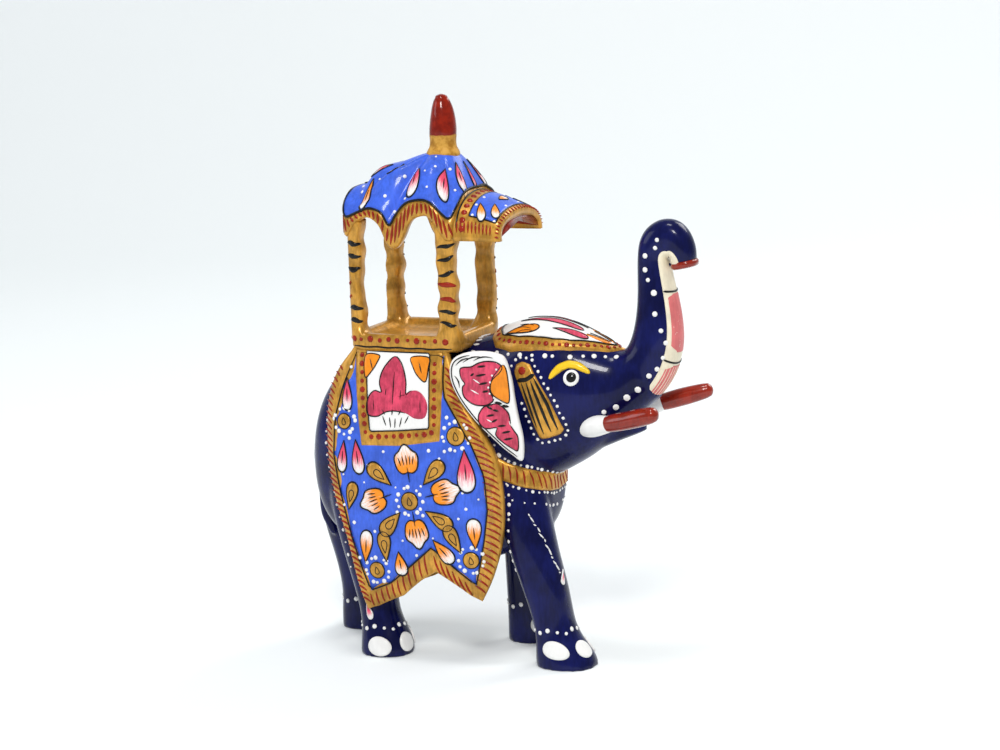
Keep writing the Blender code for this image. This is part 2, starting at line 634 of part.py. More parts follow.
def make_finial():
    """A turned spike on a waisted foot, spun about its own axis, with a peg below."""
    bm = bmesh.new()
    verts = [bm.verts.new((radius, 0, z)) for radius, z in FINIAL_PROFILE]
    edges = [bm.edges.new(pair) for pair in zip(verts, verts[1:])]
    bmesh.ops.spin(bm, geom=verts + edges, axis=(0, 0, 1), cent=(0, 0, 0), steps=16, angle=2 * math.pi,
                   use_merge=True)
    bmesh.ops.remove_doubles(bm, verts=bm.verts, dist=0.01)
    return new_object("finial", bm, red)


# ---------------------------------------------------------------- assembly

def make_dowels():
    peg("neck_dowel", *neck_dowel_ends(), NECK_DOWEL[0], wood)
    peg("trunk_dowel", *trunk_dowel_ends(), TRUNK_DOWEL[0], wood)
    for end, x in HOWDAH_DOWEL_XS.items():
        peg(f"howdah_dowel_{end}", (x, 0, SEAT_Z - HOWDAH_DOWEL[1] / 2), (x, 0, FLOOR_Z - 0.9),
            HOWDAH_DOWEL[0], wood)


def main():
    make_body()
    make_head()
    make_trunk()
    make_howdah_base()
    make_canopy()
    make_awning()
    make_finial()
    make_dowels()
    for side, sign in SIDES.items():
        cloth_panel(f"side_cloth_{side}", sign, finish=blue)
        ear_plate(f"ear_{side}", sign, finish=white)
        tube(f"tusk_{side}", TUSK_PATH, sign, finish=red)
    for name, x, y in post_places():
        make_post(name, x, y)


clear_scene()
figure = bpy.data.objects.new("figure", None)
figure.location.x = FRAME_SHIFT_X * MM
bpy.context.scene.collection.objects.link(figure)
wood = material("bare_wood", WOOD, 0.7)
navy = material("navy_enamel", NAVY, 0.2)
blue = material("cobalt_paint", BLUE, 0.4)
gold = material("gold_paint", GOLD, 0.4, 0.3)
white = material("white_paint", WHITE, 0.4)
red = material("red_enamel", RED, 0.2)
main()
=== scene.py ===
import math

import bpy
import numpy as np
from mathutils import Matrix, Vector
from mathutils.bvhtree import BVHTree


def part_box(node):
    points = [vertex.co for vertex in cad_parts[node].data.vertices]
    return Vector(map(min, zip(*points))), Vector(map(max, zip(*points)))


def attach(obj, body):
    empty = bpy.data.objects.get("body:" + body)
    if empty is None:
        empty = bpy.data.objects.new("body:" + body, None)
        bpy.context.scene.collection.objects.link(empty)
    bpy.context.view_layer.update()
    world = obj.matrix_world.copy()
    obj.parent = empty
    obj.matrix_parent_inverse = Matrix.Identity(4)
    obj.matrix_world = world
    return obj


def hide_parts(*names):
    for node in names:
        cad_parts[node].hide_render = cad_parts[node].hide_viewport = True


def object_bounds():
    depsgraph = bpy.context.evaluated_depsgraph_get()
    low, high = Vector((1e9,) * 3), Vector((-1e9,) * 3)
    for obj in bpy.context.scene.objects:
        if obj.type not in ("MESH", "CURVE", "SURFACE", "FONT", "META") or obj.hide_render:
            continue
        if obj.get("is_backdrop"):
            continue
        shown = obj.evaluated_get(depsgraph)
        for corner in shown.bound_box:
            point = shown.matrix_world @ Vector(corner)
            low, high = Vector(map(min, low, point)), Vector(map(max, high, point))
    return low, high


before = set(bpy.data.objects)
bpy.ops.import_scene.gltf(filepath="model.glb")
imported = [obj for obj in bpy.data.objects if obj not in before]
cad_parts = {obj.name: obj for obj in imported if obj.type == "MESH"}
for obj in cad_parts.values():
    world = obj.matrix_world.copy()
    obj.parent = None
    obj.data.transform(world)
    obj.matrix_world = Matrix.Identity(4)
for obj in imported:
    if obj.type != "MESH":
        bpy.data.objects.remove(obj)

bl_info = {
    "name": "Painted howdah elephant",
    "version": (1, 0, 0),
    "blender": (4, 5, 0),
    "location": "3D View > Sidebar > Elephant",
    "description": "Carves, gessoes and paints the wooden elephant and its howdah around the packed frame",
    "category": "Object",
}

# Sizes are in millimetres: X from the finial's axis towards the head, Y to the elephant's left from the
# middle plane, Z up from the ground. AXIS_X carries them into the frame, and MM into metres.
MM = 0.001
CAD_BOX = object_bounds()
FINIAL_LOW, FINIAL_HIGH = (np.array(corner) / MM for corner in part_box("finial"))
AXIS_X = (FINIAL_LOW[0] + FINIAL_HIGH[0]) / 2
RIGHT, LEFT = -1, 1
SIDE_NAMES = {RIGHT: "right", LEFT: "left"}


# ---------------- shader expressions

class Value:
    """A socket that adds Math nodes when it is used in a Python expression."""

    def __init__(self, tree, socket):
        self.tree, self.socket = tree, socket

    def math(self, operation, *others):
        return self.tree.node("ShaderNodeMath", {"operation": operation}, *(self, *others))

    def __add__(self, other):
        return self.math("ADD", other)

    def __mul__(self, other):
        return self.math("MULTIPLY", other)

    def __sub__(self, other):
        return self.math("SUBTRACT", other)

    def __rsub__(self, other):
        return self.tree.node("ShaderNodeMath", {"operation": "SUBTRACT"}, other, self)

    def __pow__(self, other):
        return self.math("POWER", other)

    __radd__, __rmul__ = __add__, __mul__

    def step(self, low, high):
        """0 below low, 1 above high, smooth between."""
        return self.tree.node("ShaderNodeMapRange", {"interpolation_type": "SMOOTHSTEP", "clamp": True},
            self, low, high, 0.0, 1.0)


class Tree:
    """A new material's node tree around one Principled BSDF."""

    def __init__(self, name, **constants):
        self.material = bpy.data.materials.new(name)
        self.material.use_nodes = True
        self.nodes, self.links = self.material.node_tree.nodes, self.material.node_tree.links
        self.shader = self.nodes["Principled BSDF"]
        self.shader.inputs["Specular IOR Level"].default_value = 0.1
        for socket, value in constants.items():
            self.shader.inputs[socket.replace("_", " ")].default_value = value

    def put(self, socket, value):
        if isinstance(value, Value):
            self.links.new(value.socket, socket)
        elif value is not None:
            socket.default_value = (*value, 1.0) if socket.type == "RGBA" and len(value) == 3 else value

    def node(self, kind, settings=None, *values, output=0, **named):
        made = self.nodes.new(kind)
        for name, value in (settings or {}).items():
            setattr(made, name, value)
        for socket, value in zip(made.inputs, values):
            self.put(socket, value)
        for name, value in named.items():
            self.put(made.inputs[name.replace("_", " ")], value)
        return Value(self, made.outputs[output])

    def mix(self, share, first, second):
        """A colour between first and second."""
        made = self.nodes.new("ShaderNodeMix")
        made.data_type = "RGBA"
        for index, value in ((0, share), (6, first), (7, second)):
            self.put(made.inputs[index], value)
        return Value(self, made.outputs[2])

    def place(self, scale=(1.0, 1.0, 1.0), turn=(0.0, 0.0, 0.0)):
        """Object coordinates, stretched and turned."""
        spot = self.node("ShaderNodeTexCoord", output=3)
        return self.node("ShaderNodeMapping", None, spot, None, turn, scale)

    def noise(self, size_mm, detail=3.0, roughness=0.5, where=None):
        """Noise whose lumps are about size_mm across."""
        return self.node("ShaderNodeTexNoise", None, where or self.place(), Scale=1.0 / (size_mm * MM),
            Detail=detail, Roughness=roughness)

    def finish(self, colour, roughness, bump=None, bump_mm=0.05, coat=None):
        self.put(self.shader.inputs["Base Color"], colour)
        self.put(self.shader.inputs["Roughness"], roughness)
        if coat is not None:
            self.put(self.shader.inputs["Coat Weight"], coat)
        if bump is not None:
            height = self.node("ShaderNodeBump", None, Strength=0.6, Distance=bump_mm * MM, Height=bump)
            self.put(self.shader.inputs["Normal"], height)
        return self.material


def brushed_paint(name, light, dark, worn, roughness=0.35, coat=0.25, streak=(1.0, 1.0, 0.25), metallic=0.0,
        wear=0.0, mottle=0.5, bump_mm=0.06):
    """Hand-brushed paint: slow mottling, brush streaks along one way, and pin-head wear down to another
    colour."""
    tree = Tree(name, Metallic=metallic, Coat_Roughness=0.12)
    patches = tree.noise(5.0, 4.0, 0.6)
    streaks = tree.noise(0.7, 3.0, 0.6, tree.place(streak))
    share = (patches * 0.6 + streaks * 0.4).step(0.5 - mottle * 0.35, 0.5 + mottle * 0.35)
    colour = tree.mix(share, dark, light)
    specks = tree.noise(0.9, 5.0, 0.7).step(0.78 - wear, 0.82 - wear)
    colour = tree.mix(specks * 0.85, colour, worn)
    height = streaks * 0.35 + tree.noise(2.6, 2.0) * 0.65 - specks * 0.5
    return tree.finish(colour, roughness + streaks * 0.16 + specks * 0.25, height, bump_mm, coat)


def navy_enamel():
    """Thick, glossy, almost black blue, with pale pin chips, hairline brush marks and a wavy gesso
    ground."""
    tree = Tree("navy_enamel", Coat_Roughness=0.04, IOR=1.5)
    patches = tree.noise(9.0, 3.0, 0.5)
    streaks = tree.noise(0.9, 3.0, 0.6, tree.place((1.0, 1.0, 0.2)))
    colour = tree.mix((patches * 0.7 + streaks * 0.3).step(0.35, 0.7), (0.002, 0.003, 0.036),
        (0.006, 0.009, 0.090))
    chips = tree.noise(1.1, 4.0, 0.75).step(0.775, 0.79) * tree.noise(14.0, 2.0).step(0.52, 0.6)
    colour = tree.mix(chips * 0.8, colour, (0.50, 0.50, 0.46))
    rub = tree.noise(3.0, 5.0, 0.7).step(0.66, 0.78)
    colour = tree.mix(rub * 0.22, colour, (0.09, 0.09, 0.2))
    height = tree.noise(6.0, 2.0) * 0.7 + streaks * 0.15 + tree.noise(2.2, 2.0) * 0.25 - chips * 0.4
    return tree.finish(colour, 0.17 + streaks * 0.12 + chips * 0.4 + rub * 0.12, height, 0.16, 0.2)


def petal_paint(name, heart, middle, tip):
    """Wet-blended brush petals: heart colour at the stem, tip colour at the far end, streaked along the
    stroke."""
    tree = Tree(name, Coat_Roughness=0.15)
    brush = tree.node("ShaderNodeAttribute", {"attribute_name": "brush"}, output=1)
    split = tree.node("ShaderNodeSeparateXYZ", None, brush)
    along = Value(tree, split.socket.node.outputs[1])
    fine = tree.node("ShaderNodeMapping", None, brush, None, None, (4.0, 0.8, 1.0))
    streaks = tree.node("ShaderNodeTexNoise", None, fine, Scale=2.2, Detail=4.0, Roughness=0.65)
    share = (along * 0.5 + 0.5) + (streaks - 0.5) * 1.2
    blended = tree.mix(share.step(0.08, 0.52), heart, middle)
    blended = tree.mix(share.step(0.55, 0.95), blended, tip)
    return tree.finish(blended, 0.32 + streaks * 0.2, streaks, 0.05, 0.3)


def finial_paint():
    """Glossy brick red down to a wavy edge, then ochre gold over the foot."""
    tree = Tree("finial_enamel", Coat_Roughness=0.06)
    spot = tree.node("ShaderNodeTexCoord", output=3)
    split = tree.node("ShaderNodeSeparateXYZ", None, spot)
    height = Value(tree, split.socket.node.outputs[2])
    edge = (height + (tree.noise(2.0) - 0.5) * 0.0012).step(RED_EDGE_Z * MM - 0.00015,
        RED_EDGE_Z * MM + 0.00015)
    mottle = tree.noise(2.0, 4.0, 0.6)
    gold = tree.mix(mottle.step(0.35, 0.65), (0.36, 0.16, 0.02), (0.62, 0.33, 0.06))
    red = tree.mix(mottle.step(0.3, 0.7), (0.16, 0.007, 0.002), (0.27, 0.014, 0.003))
    return tree.finish(tree.mix(edge, gold, red), 0.36 - edge * 0.2 + mottle * 0.1, mottle, 0.1, edge * 0.4)


def dowel_wood():
    """Bare turned dowel: fine straight grain and a smear of glue."""
    tree = Tree("dowel_wood")
    grain = tree.noise(0.5, 4.0, 0.6, tree.place((1.0, 1.0, 0.12), (0.0, 0.6, 0.0)))
    glue = tree.noise(3.0).step(0.6, 0.7)
    colour = tree.mix(grain.step(0.3, 0.7), (0.36, 0.20, 0.09), (0.62, 0.42, 0.22))
    return tree.finish(tree.mix(glue * 0.5, colour, (0.7, 0.6, 0.4)), 0.75 - glue * 0.35, grain, 0.06)


def sweep_cloth(name, colour):
    """The table sweep: matt, a little uneven."""
    tree = Tree(name, Emission_Color=(*colour, 1.0), Emission_Strength=0.2)
    grain = tree.noise(3.0, 4.0, 0.6)
    return tree.finish(tree.mix(grain, tuple(c * 0.985 for c in colour), colour), 0.85, grain, 0.02)


# ---------------- shells: one mesh topology for every new piece

def ring_faces(rings, around):
    """Quads between rings of points, and the two fans that close the ends on the two pole points that
    follow."""
    r, a = np.meshgrid(np.arange(rings - 1), np.arange(around), indexing="ij")
    b = (a + 1) % around
    quads = np.stack([r * around + a, r * around + b, (r + 1) * around + b, (r + 1) * around + a],
        -1).reshape(-1, 4)
    a = np.arange(around)
    b = (a + 1) % around
    last, first_pole, last_pole = (rings - 1) * around, rings * around, rings * around + 1
    fans = np.concatenate([np.stack([np.full(around, first_pole), b, a], -1),
        np.stack([np.full(around, last_pole), last + a, last + b], -1)])
    return quads, fans


def put_in_scene(name, data):
    """A new object of this data in the scene, at the origin."""
    obj = bpy.data.objects.new(name, data)
    bpy.context.scene.collection.objects.link(obj)
    return obj


class Piece:
    """Collects closed shells in millimetres, then makes one object of them, riding on the root body."""

    def __init__(self, name, slot, material):
        self.name, self.slot, self.material = name, slot, material
        self.points, self.faces, self.brush, self.count = [], [], [], 0

    def add(self, rings, first, last, brush=None):
        """rings: (shells, rings, around, 3); first and last: the pole points (shells, 3). brush: a 2-D
        place."""
        rings = np.asarray(rings, float)
        shells, ring_count, around = rings.shape[:3]
        points = np.concatenate([rings.reshape(shells, -1, 3), np.reshape(first, (shells, 1, 3)),
            np.reshape(last, (shells, 1, 3))], 1)
        quads, fans = ring_faces(ring_count, around)
        triangles = np.concatenate([quads[:, [0, 1, 2]], quads[:, [0, 2, 3]], fans])
        corners = points[:, triangles] - points.mean(1)[:, None, None]
        inside_out = np.linalg.det(corners).sum(1) < 0
        size = points.shape[1]
        start = self.count + np.arange(shells) * size
        for faces in (quads, fans):
            placed = faces[None] + start[:, None, None]
            placed[inside_out] = placed[inside_out][:, :, ::-1]
            self.faces += placed.reshape(-1, faces.shape[1]).tolist()
        if brush is None:
            brush = np.zeros((shells, size, 2))
        self.points.append(points.reshape(-1, 3))
        self.brush.append(np.reshape(brush, (-1, 2)))
        self.count += shells * size
        return self

    def finish(self, *nodes, after=None):
        points = np.concatenate(self.points)
        points[:, 0] += AXIS_X
        mesh = bpy.data.meshes.new(self.name)
        mesh.from_pydata((points * MM).tolist(), [], self.faces)
        brush = np.concatenate([np.concatenate(self.brush), np.zeros((len(points), 1))], 1)
        mesh.attributes.new("brush", "FLOAT_VECTOR", "POINT").data.foreach_set("vector", brush.ravel())
        mesh.shade_smooth()
        mesh.materials.append(self.material)
        obj = put_in_scene(self.name, mesh)
        if after:
            bake(obj, after)
        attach(obj, "root")
        if nodes:
            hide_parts(*nodes)
        return obj


def bake(obj, modifiers):
    """Adds modifiers by (kind, settings), keeps their result as the mesh, and removes them."""
    for kind, settings in modifiers:
        modifier = obj.modifiers.new(kind.lower(), kind)
        for name, value in settings.items():
            setattr(modifier, name, value)
    graph = bpy.context.evaluated_depsgraph_get()
    mesh = bpy.data.meshes.new_from_object(obj.evaluated_get(graph))
    obj.modifiers.clear()
    obj.data = mesh
    mesh.shade_smooth()


# ---------------- curves and lofted skins

def knots_at(x, knots):
    """A smooth curve through (x, value) knots: cubic between two knots, with the slope of the knots on
    either side."""
    kx, kv = np.array(knots, float).T
    slope = np.gradient(kv, kx)
    x = np.clip(x, kx[0], kx[-1])
    i = np.clip(np.searchsorted(kx, x, side="right") - 1, 0, len(kx) - 2)
    width = kx[i + 1] - kx[i]
    t = (x - kx[i]) / width
    return ((1 + 2 * t) * (1 - t) ** 2 * kv[i] + t * (1 - t) ** 2 * width * slope[i] + t * t * (3 - 2 * t)
        * kv[i + 1] + t * t * (t - 1) * width * slope[i + 1])


def along_path(path, count=None, spacing=None, closed=False):
    """Points evenly spaced along a polyline, with their unit directions."""
    path = np.asarray(path, float)
    if closed:
        path = np.concatenate([path, path[:1]])
    lengths = np.concatenate([[0.0], np.cumsum(np.linalg.norm(np.diff(path, axis=0), axis=1))])
    if count is None:
        count = max(int(round(lengths[-1] / spacing)), 2)
    at = np.linspace(0.0, lengths[-1], count, endpoint=not closed)
    points = np.stack([np.interp(at, lengths, column) for column in path.T], 1)
    ahead = np.stack([np.interp(at + 0.3, lengths, column) for column in path.T], 1)
    behind = np.stack([np.interp(at - 0.3, lengths, column) for column in path.T], 1)
    way = ahead - behind
    return points, way / np.maximum(np.linalg.norm(way, axis=1, keepdims=True), 1e-6)


def unit(v):
    """The vectors at length 1."""
    return v / np.maximum(np.linalg.norm(v, axis=-1, keepdims=True), 1e-9)


def spline_weights(t):
    """The four weights of a uniform cubic B-spline."""
    return np.stack([(1 - t) ** 3, 3 * t ** 3 - 6 * t ** 2 + 4, -3 * t ** 3 + 3 * t ** 2 + 3 * t + 1,
        t ** 3], -1) / 6


class Loft:
    """A skin over superellipse sections. P(s, a) is a cubic B-spline surface whose control rings are the
    sections: s runs from the first section to the last, and a goes once round: 0 left, 0.25 front or top,
    0.5 right, 0.75 back or underside. A section is (x, z of one end, x, z of the other, half width, middle
    y)."""

    def __init__(self, sections, around=12, power=2.3):
        rows = np.array([row if len(row) == 6 else (*row, 0.0) for row in sections], float)
        angle = 2 * np.pi * (np.arange(around) + 0.5) / around
        across = np.sign(np.cos(angle)) * np.abs(np.cos(angle)) ** (2 / power)
        along = np.sign(np.sin(angle)) * np.abs(np.sin(angle)) ** (2 / power)
        middle = np.stack([(rows[:, 0] + rows[:, 2]) / 2, rows[:, 5], (rows[:, 1] + rows[:, 3]) / 2], -1)
        reach = np.stack([(rows[:, 0] - rows[:, 2]) / 2, 0 * rows[:, 0], (rows[:, 1] - rows[:, 3]) / 2], -1)
        cage = middle[:, None] + reach[:, None] * along[None, :, None]
        cage[:, :, 1] += rows[:, 4:5] * across
        ends = [np.repeat(middle[k:k + 1, None], around, 1) for k in (0, -1)]
        self.cage = np.concatenate([ends[0], cage, ends[1]])
        self.around = around
        self.length = len(rows) - 1

    def at(self, s, a):
        """The surface point at section number s and share of a turn a."""
        s, a = np.broadcast_arrays(np.asarray(s, float), np.asarray(a, float))
        i = np.clip(np.floor(s), 0, self.length - 1).astype(int)
        turn = np.mod(a, 1.0) * self.around - 0.5
        j = np.floor(turn).astype(int)
        rows = i[..., None, None] + np.arange(4)[:, None]
        columns = np.mod(j[..., None, None] + np.arange(-1, 3), self.around)
        weights = spline_weights(s - i)[..., :, None] * spline_weights(turn - j)[..., None, :]
        rows = np.clip(rows, 0, len(self.cage) - 1)
        return (self.cage[rows, columns] * weights[..., None]).sum((-3, -2))

    def place(self, s, a, lift):
        """A point lifted off the surface along its normal."""
        here = self.at(s, a)
        normal = unit(np.cross(self.at(s, a + 0.004) - self.at(s, a - 0.004),
            self.at(s + 0.02, a) - self.at(s - 0.02, a)))
        middle = (self.at(s, 0.0) + self.at(s, 0.5)) / 2
        facing = np.sign(((here - middle) * normal).sum(-1, keepdims=True))
        return here + normal * facing * np.asarray(lift, float)[..., None]

    def near(self, s, a):
        """The surface around one spot as a canvas: p along the turn and q along the sections, in
        millimetres."""
        per_turn = float(np.linalg.norm(self.at(s, a + 0.01) - self.at(s, a - 0.01)) / 0.02)
        per_row = float(np.linalg.norm(self.at(s + 0.05, a) - self.at(s - 0.05, a)) / 0.1)
        return Canvas(lambda p, q, lift: self.place(s + q / per_row, a + p / per_turn, lift))

    def shell(self, piece, rows_per_section=6, around=64, floor=None):
        s = np.linspace(0, self.length, self.length * rows_per_section + 1)[:, None]
        a = (np.arange(around) / around)[None]
        rings = self.at(s, a)
        if floor is not None:
            rings[..., 2] = np.maximum(rings[..., 2], floor)
        return piece.add(rings[None], rings[0].mean(0), rings[-1].mean(0))


class Canvas:
    """A surface to paint on: place(p, q, lift) gives the point lift above the surface."""

    def __init__(self, place):
        self.place = place


def height_canvas(height, to_space):
    """The canvas of a height field: h = height(p, q), its normal is (-dh/dp, -dh/dq, 1), and to_space(p, q,
    h) turns the three into x, y, z."""
    def place(p, q, lift):
        p, q = np.broadcast_arrays(np.asarray(p, float), np.asarray(q, float))
        h, e = height(p, q), 0.35
        slope_p = (height(p + e, q) - height(p - e, q)) / (2 * e)
        slope_q = (height(p, q + e) - height(p, q - e)) / (2 * e)
        out = unit(np.stack([-slope_p, -slope_q, np.ones_like(h)], -1)) * np.asarray(lift, float)[..., None]
        return np.stack(to_space(p + out[..., 0], q + out[..., 1], h + out[..., 2]), -1)
    return Canvas(place)


def felt_canvas(obj, low, high, step, axis, start, missing):
    """A finished piece as a canvas: its height along an axis (1 for Y, 2 for Z), felt by rays from the far
    side at start, on a grid over the other two axes, and interpolated between them. A ray that misses gives
    missing."""
    tree = BVHTree.FromObject(obj, bpy.context.evaluated_depsgraph_get())
    ps, qs = np.arange(low[0], high[0], step), np.arange(low[1], high[1], step)
    sign = np.sign(start)
    way = Vector([-sign if k == axis else 0.0 for k in range(3)])

    def spot(p, q, h):
        return (p, h, q) if axis == 1 else (p, q, h)

    starts = [Vector(spot((p + AXIS_X) * MM, q * MM, start * MM)) for p in ps for q in qs]
    hits = [tree.ray_cast(place, way)[0] for place in starts]
    heights = [hit[axis] / MM * sign if hit else missing for hit in hits]
    grid = np.array(heights).reshape(len(ps), len(qs))
    return height_canvas(lambda p, q: grid_value(grid, (p - ps[0]) / step, (q - qs[0]) / step),
        lambda p, q, h: spot(p, q, h * sign))


# ---------------- paint: dots, strokes and filled shapes

DOT_RINGS = ((1.0, -0.25), (0.96, 0.3), (0.62, 0.82))


def domes(piece, middle, up, right, radius, height):
    """A dome at each middle: 8 points round in 3 rings, radius across and height high along up."""
    fore = np.cross(up, right)
    angle = 2 * np.pi * np.arange(8) / 8
    flat = right[:, None] * np.cos(angle)[None, :, None] + fore[:, None] * np.sin(angle)[None, :, None]
    radius = np.broadcast_to(np.asarray(radius, float), len(middle))[:, None, None]
    rings = np.stack([middle[:, None] + flat * (radius * share) + up[:, None] * (height * rise) for share,
        rise in DOT_RINGS], 1)
    piece.add(rings, middle - up * height * 0.5, middle + up * height)


def dots(piece, canvas, centres, radius, height=0.3):
    """Round blobs of paint at centres on a canvas."""
    p, q = np.atleast_2d(np.asarray(centres, float)).T
    middle = canvas.place(p, q, np.zeros_like(p))
    up = unit(canvas.place(p, q, np.full_like(p, 0.5)) - middle)
    right = canvas.place(p + 0.01, q, np.zeros_like(p)) - middle
    domes(piece, middle, up, unit(right - up * (right * up).sum(-1, keepdims=True)), radius, height)


def strokes(piece, canvas, paths, width, height=0.22, taper=0.5, lift=0.0, closed_ends=0.12):
    """Brush strokes: paths is (strokes, points, 2) on the canvas. The section is a flat lens, six points
    round, width across in millimetres, and taper is the share of each end over which it narrows."""
    paths = np.asarray(paths, float)
    if paths.ndim == 2:
        paths = paths[None]
    p, q = paths[..., 0], paths[..., 1]
    ground = canvas.place(p, q, np.zeros_like(p) + lift)
    up = unit(canvas.place(p, q, np.zeros_like(p) + lift + 0.5) - ground)
    way = unit(np.gradient(ground, axis=1))
    side = unit(np.cross(way, up))
    t = np.linspace(0, 1, paths.shape[1])
    swell = np.clip(np.minimum(t, 1 - t) / max(taper, 1e-3), 0, 1) ** 0.55
    swell = closed_ends + (1 - closed_ends) * swell
    half = np.broadcast_to(np.asarray(width, float), (len(paths),))[:, None] / 2 * swell
    lens = ((-1.0, 0.0), (-0.6, 0.85), (0.0, 1.0), (0.6, 0.85), (1.0, 0.0), (0.0, -1.2))
    rings = np.stack([ground + side * (half * across)[..., None] + up * (height * rise) for across,
        rise in lens], 2)
    return piece.add(rings, ground[:, 0], ground[:, -1])


def shape(piece, canvas, centre, outline, height=0.25, turn=0.0, size=(1.0, 1.0), steps=3, lift=0.0,
        rings=None, profile=None, bottom=None):
    """A filled patch of paint: outline is (points, 2) about its own centre. Rings of it shrink towards the
    centre, the first ones raised from the surface to the full height, so that the patch has a soft thick
    edge."""
    outline = np.asarray(outline, float) * size
    if rings is None:
        rings = (1.0, 1.0, *np.linspace(0.94, 0.12, steps))
        profile = (-0.6, 0.1, *([0.85] + [1.0] * (steps - 1)))
    c, s = math.cos(turn), math.sin(turn)
    local = np.stack([outline * r for r in rings])
    p = centre[0] + local[..., 0] * c - local[..., 1] * s
    q = centre[1] + local[..., 0] * s + local[..., 1] * c
    rise = lift + height * np.array(profile)[:, None] * np.ones_like(p)
    points = canvas.place(p, q, rise)
    middle_p, middle_q = np.array([centre[0]]), np.array([centre[1]])
    under = lift - height * 0.6 if bottom is None else bottom
    foot = canvas.place(middle_p, middle_q, np.array([under]))
    top = canvas.place(middle_p, middle_q, np.array([lift + height]))
    reach = np.abs(outline).max(0)
    brush = np.concatenate([(local / reach).reshape(-1, 2), np.zeros((2, 2))])
    return piece.add(points[None], foot, top, brush[None])


def outline_stroke(piece, canvas, centre, outline, width=0.5, turn=0.0, size=(1.0, 1.0), grow=1.0,
        height=0.3, part=(0.0, 1.0), lift=0.0):
    """A thin line along the edge of a shape, or along the part of it between two shares of its length."""
    outline = np.asarray(outline, float) * size * grow
    c, s = math.cos(turn), math.sin(turn)
    path = np.stack([centre[0] + outline[:, 0] * c - outline[:, 1] * s,
        centre[1] + outline[:, 0] * s + outline[:, 1] * c], 1)
    path = np.concatenate([path, path[:1]])
    fine, _ = along_path(path, 97)
    first, last = (int(round(share * 96)) for share in part)
    return strokes(piece, canvas, fine[first:last + 1], width, height, taper=0.06, lift=lift)


def outlined(coat, name, canvas, centre, outline, height=0.12, line=0.36, line_height=0.2, turn=0.0,
        size=(1.0, 1.0), grow=1.0, **more):
    """A filled patch with a black line round it."""
    shape(coat[name], canvas, centre, outline, height, turn, size, **more)
    outline_stroke(coat["black"], canvas, centre, outline, line, turn, size, grow, line_height)


def teardrop(points=28):
    """x = 0.8 sin t * sin(t / 2) ** 1.5, y = cos t: pointed at the top, round at the foot."""
    t = 2 * np.pi * np.arange(points) / points
    return np.stack([np.sin(t) * np.sin(t / 2) ** 1.5 * 0.8, np.cos(t)], 1)


def oval(points=24):
    """A circle of radius 1, anticlockwise from (1, 0)."""
    t = 2 * np.pi * np.arange(points) / points
    return np.stack([np.cos(t), np.sin(t)], 1)


def fan_petal(points=40):
    """A petal that opens from a narrow stem at (0, -1) to a scalloped front edge near y = 1."""
    t = 2 * np.pi * np.arange(points) / points
    reach = 0.25 + 0.75 * np.sin(t / 2) ** 1.3 + 0.10 * np.cos(6 * t) * np.sin(t / 2) ** 6
    return np.stack([np.sin(t) * reach * 0.85, -np.cos(t) * reach], 1)


def about_middle(outline):
    """The mean of an outline, and the outline about it."""
    middle = outline.mean(0)
    return middle, outline - middle


def lines(*pairs, bend=0.0, points=7):
    """Short brush paths from the first point to the second of each pair, bowed sideways by bend."""
    ends = np.array(pairs, float)
    t = np.linspace(0, 1, points)[None, :, None]
    path = ends[:, :1] * (1 - t) + ends[:, 1:] * t
    way = ends[:, 1] - ends[:, 0]
    bow = np.stack([-way[:, 1], way[:, 0]], -1)[:, None] * bend * np.sin(np.pi * t)
    return path + bow


def spans(p, q, p_end, q_end):
    """Pairs of places for lines: from (p, q) to (p_end, q_end), each an array or a number."""
    return np.moveaxis(np.array(np.broadcast_arrays(p, q, p_end, q_end), float).reshape(2, 2, -1), -1, 0)


def offset(outline, distance):
    """The outline moved outwards by distance along its own normals (it runs anticlockwise)."""
    way = np.roll(outline, -1, 0) - np.roll(outline, 1, 0)
    return outline + unit(np.stack([way[:, 1], -way[:, 0]], -1)) * distance


def anticlockwise(outline):
    """The outline, turned round if its signed area is negative."""
    x, y = outline.T
    return outline if (x * np.roll(y, -1) - np.roll(x, -1) * y).sum() > 0 else outline[::-1]


def band(piece, place, u, low, high, columns=16, height=0.25, edge=0.06, sink=0.45):
    """A closed strip over a surface: along the array u, and across from low to high (numbers or arrays over
    u). Its top is lifted by height, rounded off over the share edge at each border; its underside lies in
    the surface."""
    u = np.asarray(u, float)[:, None]
    low, high = (np.broadcast_to(np.reshape(limit, (-1, 1)), u.shape) for limit in (low, high))
    across = np.concatenate([[0.0], np.linspace(edge, 1 - edge, columns), [1.0]])[None]
    rise = np.concatenate([[0.0], np.full(columns, height), [0.0]])[None]
    rise[0, 1] = rise[0, -2] = height * 0.92
    top = place(u + 0 * across, low + (high - low) * across, rise + 0 * u)
    back = across[:, ::-1]
    foot = place(u + 0 * back, low + (high - low) * back, np.full((len(u), columns + 2), -sink))
    rings = np.concatenate([top, foot], 1)
    return piece.add(rings[None], rings[0].mean(0), rings[-1].mean(0))


